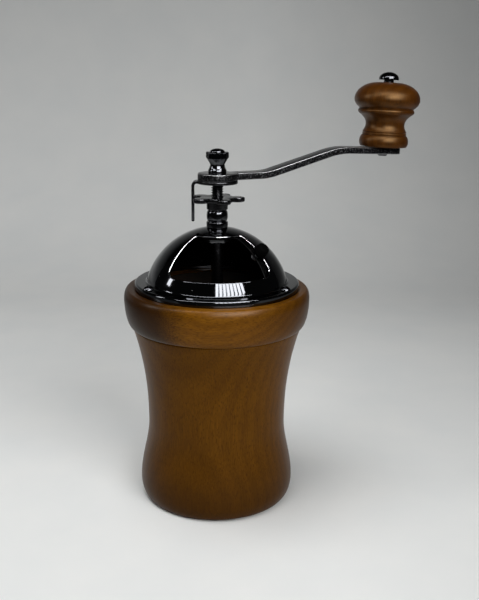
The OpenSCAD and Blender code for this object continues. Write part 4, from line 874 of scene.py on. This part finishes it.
# Crank knob: turned from beech with a rounded foot, a fine bead between two grooves, a cove and a
# wide flattened head. Stained and lacquered, it turns freely on the spindle.
KNOB_BASE_R, KNOB_BASE_ROUND, KNOB_BASE_Z, KNOB_BASE_H = 12.85, 5.0, 2.6, 5.8
KNOB_GROOVE_R, KNOB_GROOVE_DEPTH, KNOB_GROOVE_H = 11.5, 0.4, 1.5
KNOB_NECK_R, KNOB_NECK_Z = 10.15, 11.3
KNOB_BEAD_R, KNOB_BEAD_Z, KNOB_BEAD_ROUND = 14.65, 18.1, 1.2
KNOB_HEAD_R, KNOB_HEAD_Z, KNOB_HEAD_TUCK, KNOB_CROWN, KNOB_TOP_R = 17.0, 24.1, 40.0, 8.6, 5.0
foot_low = -math.degrees(math.asin(KNOB_BASE_Z / KNOB_BASE_ROUND))
foot_high = math.degrees(math.asin((KNOB_BASE_H - KNOB_BASE_Z) / KNOB_BASE_ROUND))
knob_outline = arc((KNOB_BASE_R - KNOB_BASE_ROUND, KNOB_BASE_Z), (KNOB_BASE_ROUND, KNOB_BASE_ROUND),
                   foot_low, foot_high, 12)
groove_r, groove_top = KNOB_GROOVE_R - KNOB_GROOVE_DEPTH, KNOB_BASE_H + KNOB_GROOVE_H
knob_outline += rounded([
    knob_outline.pop(), (groove_r, KNOB_BASE_H + 0.1, 0.12), (KNOB_GROOVE_R, KNOB_BASE_H + 0.4, 0.25),
    (KNOB_GROOVE_R, groove_top - 0.4, 0.25), (groove_r, groove_top, 0.12),
    (KNOB_GROOVE_R, groove_top + 0.4)], 3)
neck_drop = KNOB_NECK_Z - groove_top - 0.4
for i in range(1, 11):
    rest = 1 - i / 10
    knob_outline.append((KNOB_NECK_R + (KNOB_GROOVE_R - KNOB_NECK_R) * rest ** 2,
                         KNOB_NECK_Z - neck_drop * rest))
cove_r, cove_h = KNOB_BEAD_R - KNOB_BEAD_ROUND / 2 - KNOB_NECK_R, KNOB_BEAD_Z - KNOB_BEAD_ROUND - KNOB_NECK_Z
knob_outline += [(KNOB_NECK_R + cove_r * (i / 16) ** 2.3, KNOB_NECK_Z + cove_h * i / 16)
                 for i in range(1, 17)]
knob_outline += arc((KNOB_BEAD_R - KNOB_BEAD_ROUND, KNOB_BEAD_Z), (KNOB_BEAD_ROUND, KNOB_BEAD_ROUND),
                    -60, 60, 10)
head_drop = KNOB_HEAD_Z - KNOB_BEAD_Z - KNOB_BEAD_ROUND - KNOB_GROOVE_DEPTH
head_drop /= math.sin(math.radians(KNOB_HEAD_TUCK))
knob_outline += arc((KNOB_TOP_R, KNOB_HEAD_Z), (KNOB_HEAD_R - KNOB_TOP_R, head_drop), -KNOB_HEAD_TUCK, 0, 10)
knob_outline += arc((KNOB_TOP_R, KNOB_HEAD_Z), (KNOB_HEAD_R - KNOB_TOP_R, KNOB_CROWN), 0, 90, 20)[1:]
knob_bore, rim_r = SPINDLE_R + 0.06, knob_outline[0][0] - 0.4
underside = rounded([(knob_bore, KNOB_H / 2), (knob_bore, 0, 0.3), (rim_r, 0, 0.3)])
mouth = [(knob_bore + 0.3, KNOB_H), (knob_bore, KNOB_H - 0.3), (knob_bore, KNOB_H / 2)]
knob = turned("crank_knob_turned", underside + knob_outline + mouth, sides=160)
knob.data.transform(Matrix.Translation((0, 0, KNOB_PLAY / 1000)))
knob.data.transform(on_arm)
knob_beech = stained_beech(
    "knob stained beech", "#341802", "#482503", "#5e3407", "#241001", pith=(-30, -80, 0), wave=2.0,
    gloss=0.34, shine=0.42, lacquer="#ffcf92")
fit(knob, knob_beech, "knob_wood", "knob_unit", "crank_knob")

# Studio: a sheet of matt white board that runs up into a soft backdrop, under a soft ceiling light.
# A large panel of strip lights stands in front on the right, and a small window is on the left.
BOARD_HALF_W, BOARD_FRONT, BOARD_BACK, BOARD_ROUND, BOARD_TOP = 1.3, -0.9, 0.75, 0.35, 1.3
profile = [(BOARD_FRONT, 0.0), (-0.2, 0.0), (BOARD_BACK - BOARD_ROUND, 0.0)]
profile += [(BOARD_BACK - BOARD_ROUND + BOARD_ROUND * math.sin(a), BOARD_ROUND - BOARD_ROUND * math.cos(a))
            for a in [math.pi / 2 * i / 16 for i in range(1, 17)]]
profile += [(BOARD_BACK, BOARD_TOP)]
sweep = bmesh.new()
edges = [[sweep.verts.new((x, y, z)) for y, z in profile] for x in (-BOARD_HALF_W, BOARD_HALF_W)]
for k in range(len(profile) - 1):
    sweep.faces.new((edges[0][k], edges[1][k], edges[1][k + 1], edges[0][k + 1]))
bmesh.ops.scale(sweep, vec=(1000, 1000, 1000), verts=sweep.verts)
board = smooth(sweep, "studio_board", crease=60)
matt_board, tree = blank("matt white board")
place = add(tree, "ShaderNodeTexCoord").outputs["Object"]
tooth = add(tree, "ShaderNodeTexNoise", {"Vector": place, "Scale": 1 / 0.05, "Detail": 3.0})
tint = add(tree, "ShaderNodeValToRGB", {"Fac": tooth}, stops=[(0.3, "#f1f3f2"), (0.7, "#f6f7f5")])
# painted shade: the board is greyer towards the back, the top and the right, and gives little light back to
# the mill
depth = add(tree, "ShaderNodeSeparateXYZ", {0: place})
rays = add(tree, "ShaderNodeLightPath")
grey = add(tree, "ShaderNodeMapRange", {
    "Value": rays.outputs["Is Diffuse Ray"], "To Min": 1.0, "To Max": 0.5})
for axis, near, far, least in (("Y", -0.02, 0.36, 0.76), ("Z", 0.05, 0.32, 0.8), ("X", 0.05, 0.33, 0.64)):
    painted_falloff = add(tree, "ShaderNodeMapRange", {
        "Value": depth.outputs[axis], "From Min": near, "From Max": far, "To Min": 1.0, "To Max": least})
    grey = add(tree, "ShaderNodeMath", {0: grey, 1: painted_falloff}, operation="MULTIPLY")
shaded_board = add(tree, "ShaderNodeMix", {0: grey, 6: "#000000", 7: tint}, data_type="RGBA")
# mirrors see the dark room in front of the board, above it and, in part, to its sides
floor_left = add(tree, "ShaderNodeMapRange", {
    "Value": depth.outputs["X"], "From Min": -0.14, "From Max": -0.4, "To Max": 0.85})
low = add(tree, "ShaderNodeMapRange", {"Value": depth.outputs["Z"], "From Min": 0.12, "From Max": 0.02})
room = add(tree, "ShaderNodeMath", {0: floor_left, 1: low}, operation="MULTIPLY")
for axis, near, far, most in (("Y", -0.2, -0.3, 1.0), ("Z", 0.2, 0.8, 1.0), ("X", 0.1, 0.6, 0.6)):
    dark = add(tree, "ShaderNodeMapRange", {
        "Value": depth.outputs[axis], "From Min": near, "From Max": far, "To Max": most})
    room = add(tree, "ShaderNodeMath", {0: room, 1: dark}, operation="MAXIMUM")
dim = add(tree, "ShaderNodeMath", {0: rays.outputs["Is Glossy Ray"], 1: room}, operation="MULTIPLY")
shown = add(tree, "ShaderNodeMix", {0: dim, 6: shaded_board, 7: "#0a0a0a"}, data_type="RGBA")
shader = add(tree, "ShaderNodeBsdfPrincipled", {
    "Base Color": shown, "Roughness": 0.8, "Specular IOR Level": 0.2})
add(tree, "ShaderNodeOutputMaterial", {0: shader})
board.data.materials.append(matt_board)

world = bpy.data.worlds.new("studio")
bpy.context.scene.world = world
world.use_nodes = True
tree = world.node_tree
tree.nodes.clear()
rays = add(tree, "ShaderNodeLightPath")
mirror = add(tree, "ShaderNodeMath", {
    0: rays.outputs["Is Glossy Ray"], 1: rays.outputs["Is Transmission Ray"]}, operation="MAXIMUM")
strength = add(tree, "ShaderNodeMapRange", {"Value": mirror, "To Min": 0.06, "To Max": 0.02})
sky = add(tree, "ShaderNodeBackground", {"Color": "#f2f5f8", "Strength": strength})
add(tree, "ShaderNodeOutputWorld", {0: sky})


def lamp(name, power, size, place, target, mirrored, lights):
    """A rectangular soft light that faces a point. It may be kept out of mirrors, or shine only there."""
    light = bpy.data.lights.new(name, "AREA")
    light.shape, light.size, light.size_y, light.energy = "RECTANGLE", size[0], size[1], power
    holder = bpy.data.objects.new(name, light)
    holder.location = place
    holder.rotation_euler = (Vector(target) - Vector(place)).to_track_quat("-Z", "Y").to_euler()
    holder.visible_glossy, holder.visible_diffuse = mirrored, lights
    bpy.context.scene.collection.objects.link(holder)


PANEL_AZ, PANEL_STEP, PANEL_COUNT, PANEL_DISTANCE, PANEL_Z = 0.0, 6.2, 8, 0.95, 0.65
for i in range(PANEL_COUNT):
    a = math.radians(PANEL_AZ + PANEL_STEP * i - 90)
    place = (PANEL_DISTANCE * math.cos(a), PANEL_DISTANCE * math.sin(a), PANEL_Z)
    lamp(f"panel_strip_{i + 1}", 1.9, (0.078, 0.55), place, (0, 0, 0.15), mirrored=True, lights=False)
lamp("panel_glow", 6.8, (0.7, 0.5), (0.5, -0.85, 0.7), (0, 0, 0.12), mirrored=False, lights=True)
lamp("long_strip", 11.0, (2.1, 0.1), (0.0, -0.5, 0.95), (0, 0, 0.15), mirrored=True, lights=False)
lamp("left_window", 2.1, (0.14, 0.4), (-1.05, -0.05, 0.6), (0, 0, 0.12), mirrored=True, lights=False)
lamp("ceiling", 11.2, (1.0, 0.9), (-0.32, -0.22, 1.3), (0, -0.2, 0), mirrored=False, lights=True)

CAMERA_TURN, CAMERA_TILT, CAMERA_ROLL = math.radians(-1.63), math.radians(90 - 15.45), math.radians(0.6)
camera = bpy.data.cameras.new("camera")
camera.lens, camera.sensor_width, camera.sensor_fit = 49.25, 36.0, "AUTO"
tripod = bpy.data.objects.new("camera", camera)
tripod.location = (0, -0.400, 0.2141)
tripod.rotation_euler = (Matrix.Rotation(CAMERA_TURN, 3, "Z") @ Matrix.Rotation(CAMERA_TILT, 3, "X")
                         @ Matrix.Rotation(CAMERA_ROLL, 3, "Z")).to_euler()
bpy.context.scene.collection.objects.link(tripod)
bpy.context.scene.camera = tripod
bpy.context.scene.view_settings.view_transform = "Standard"

bpy.context.view_layer.update()
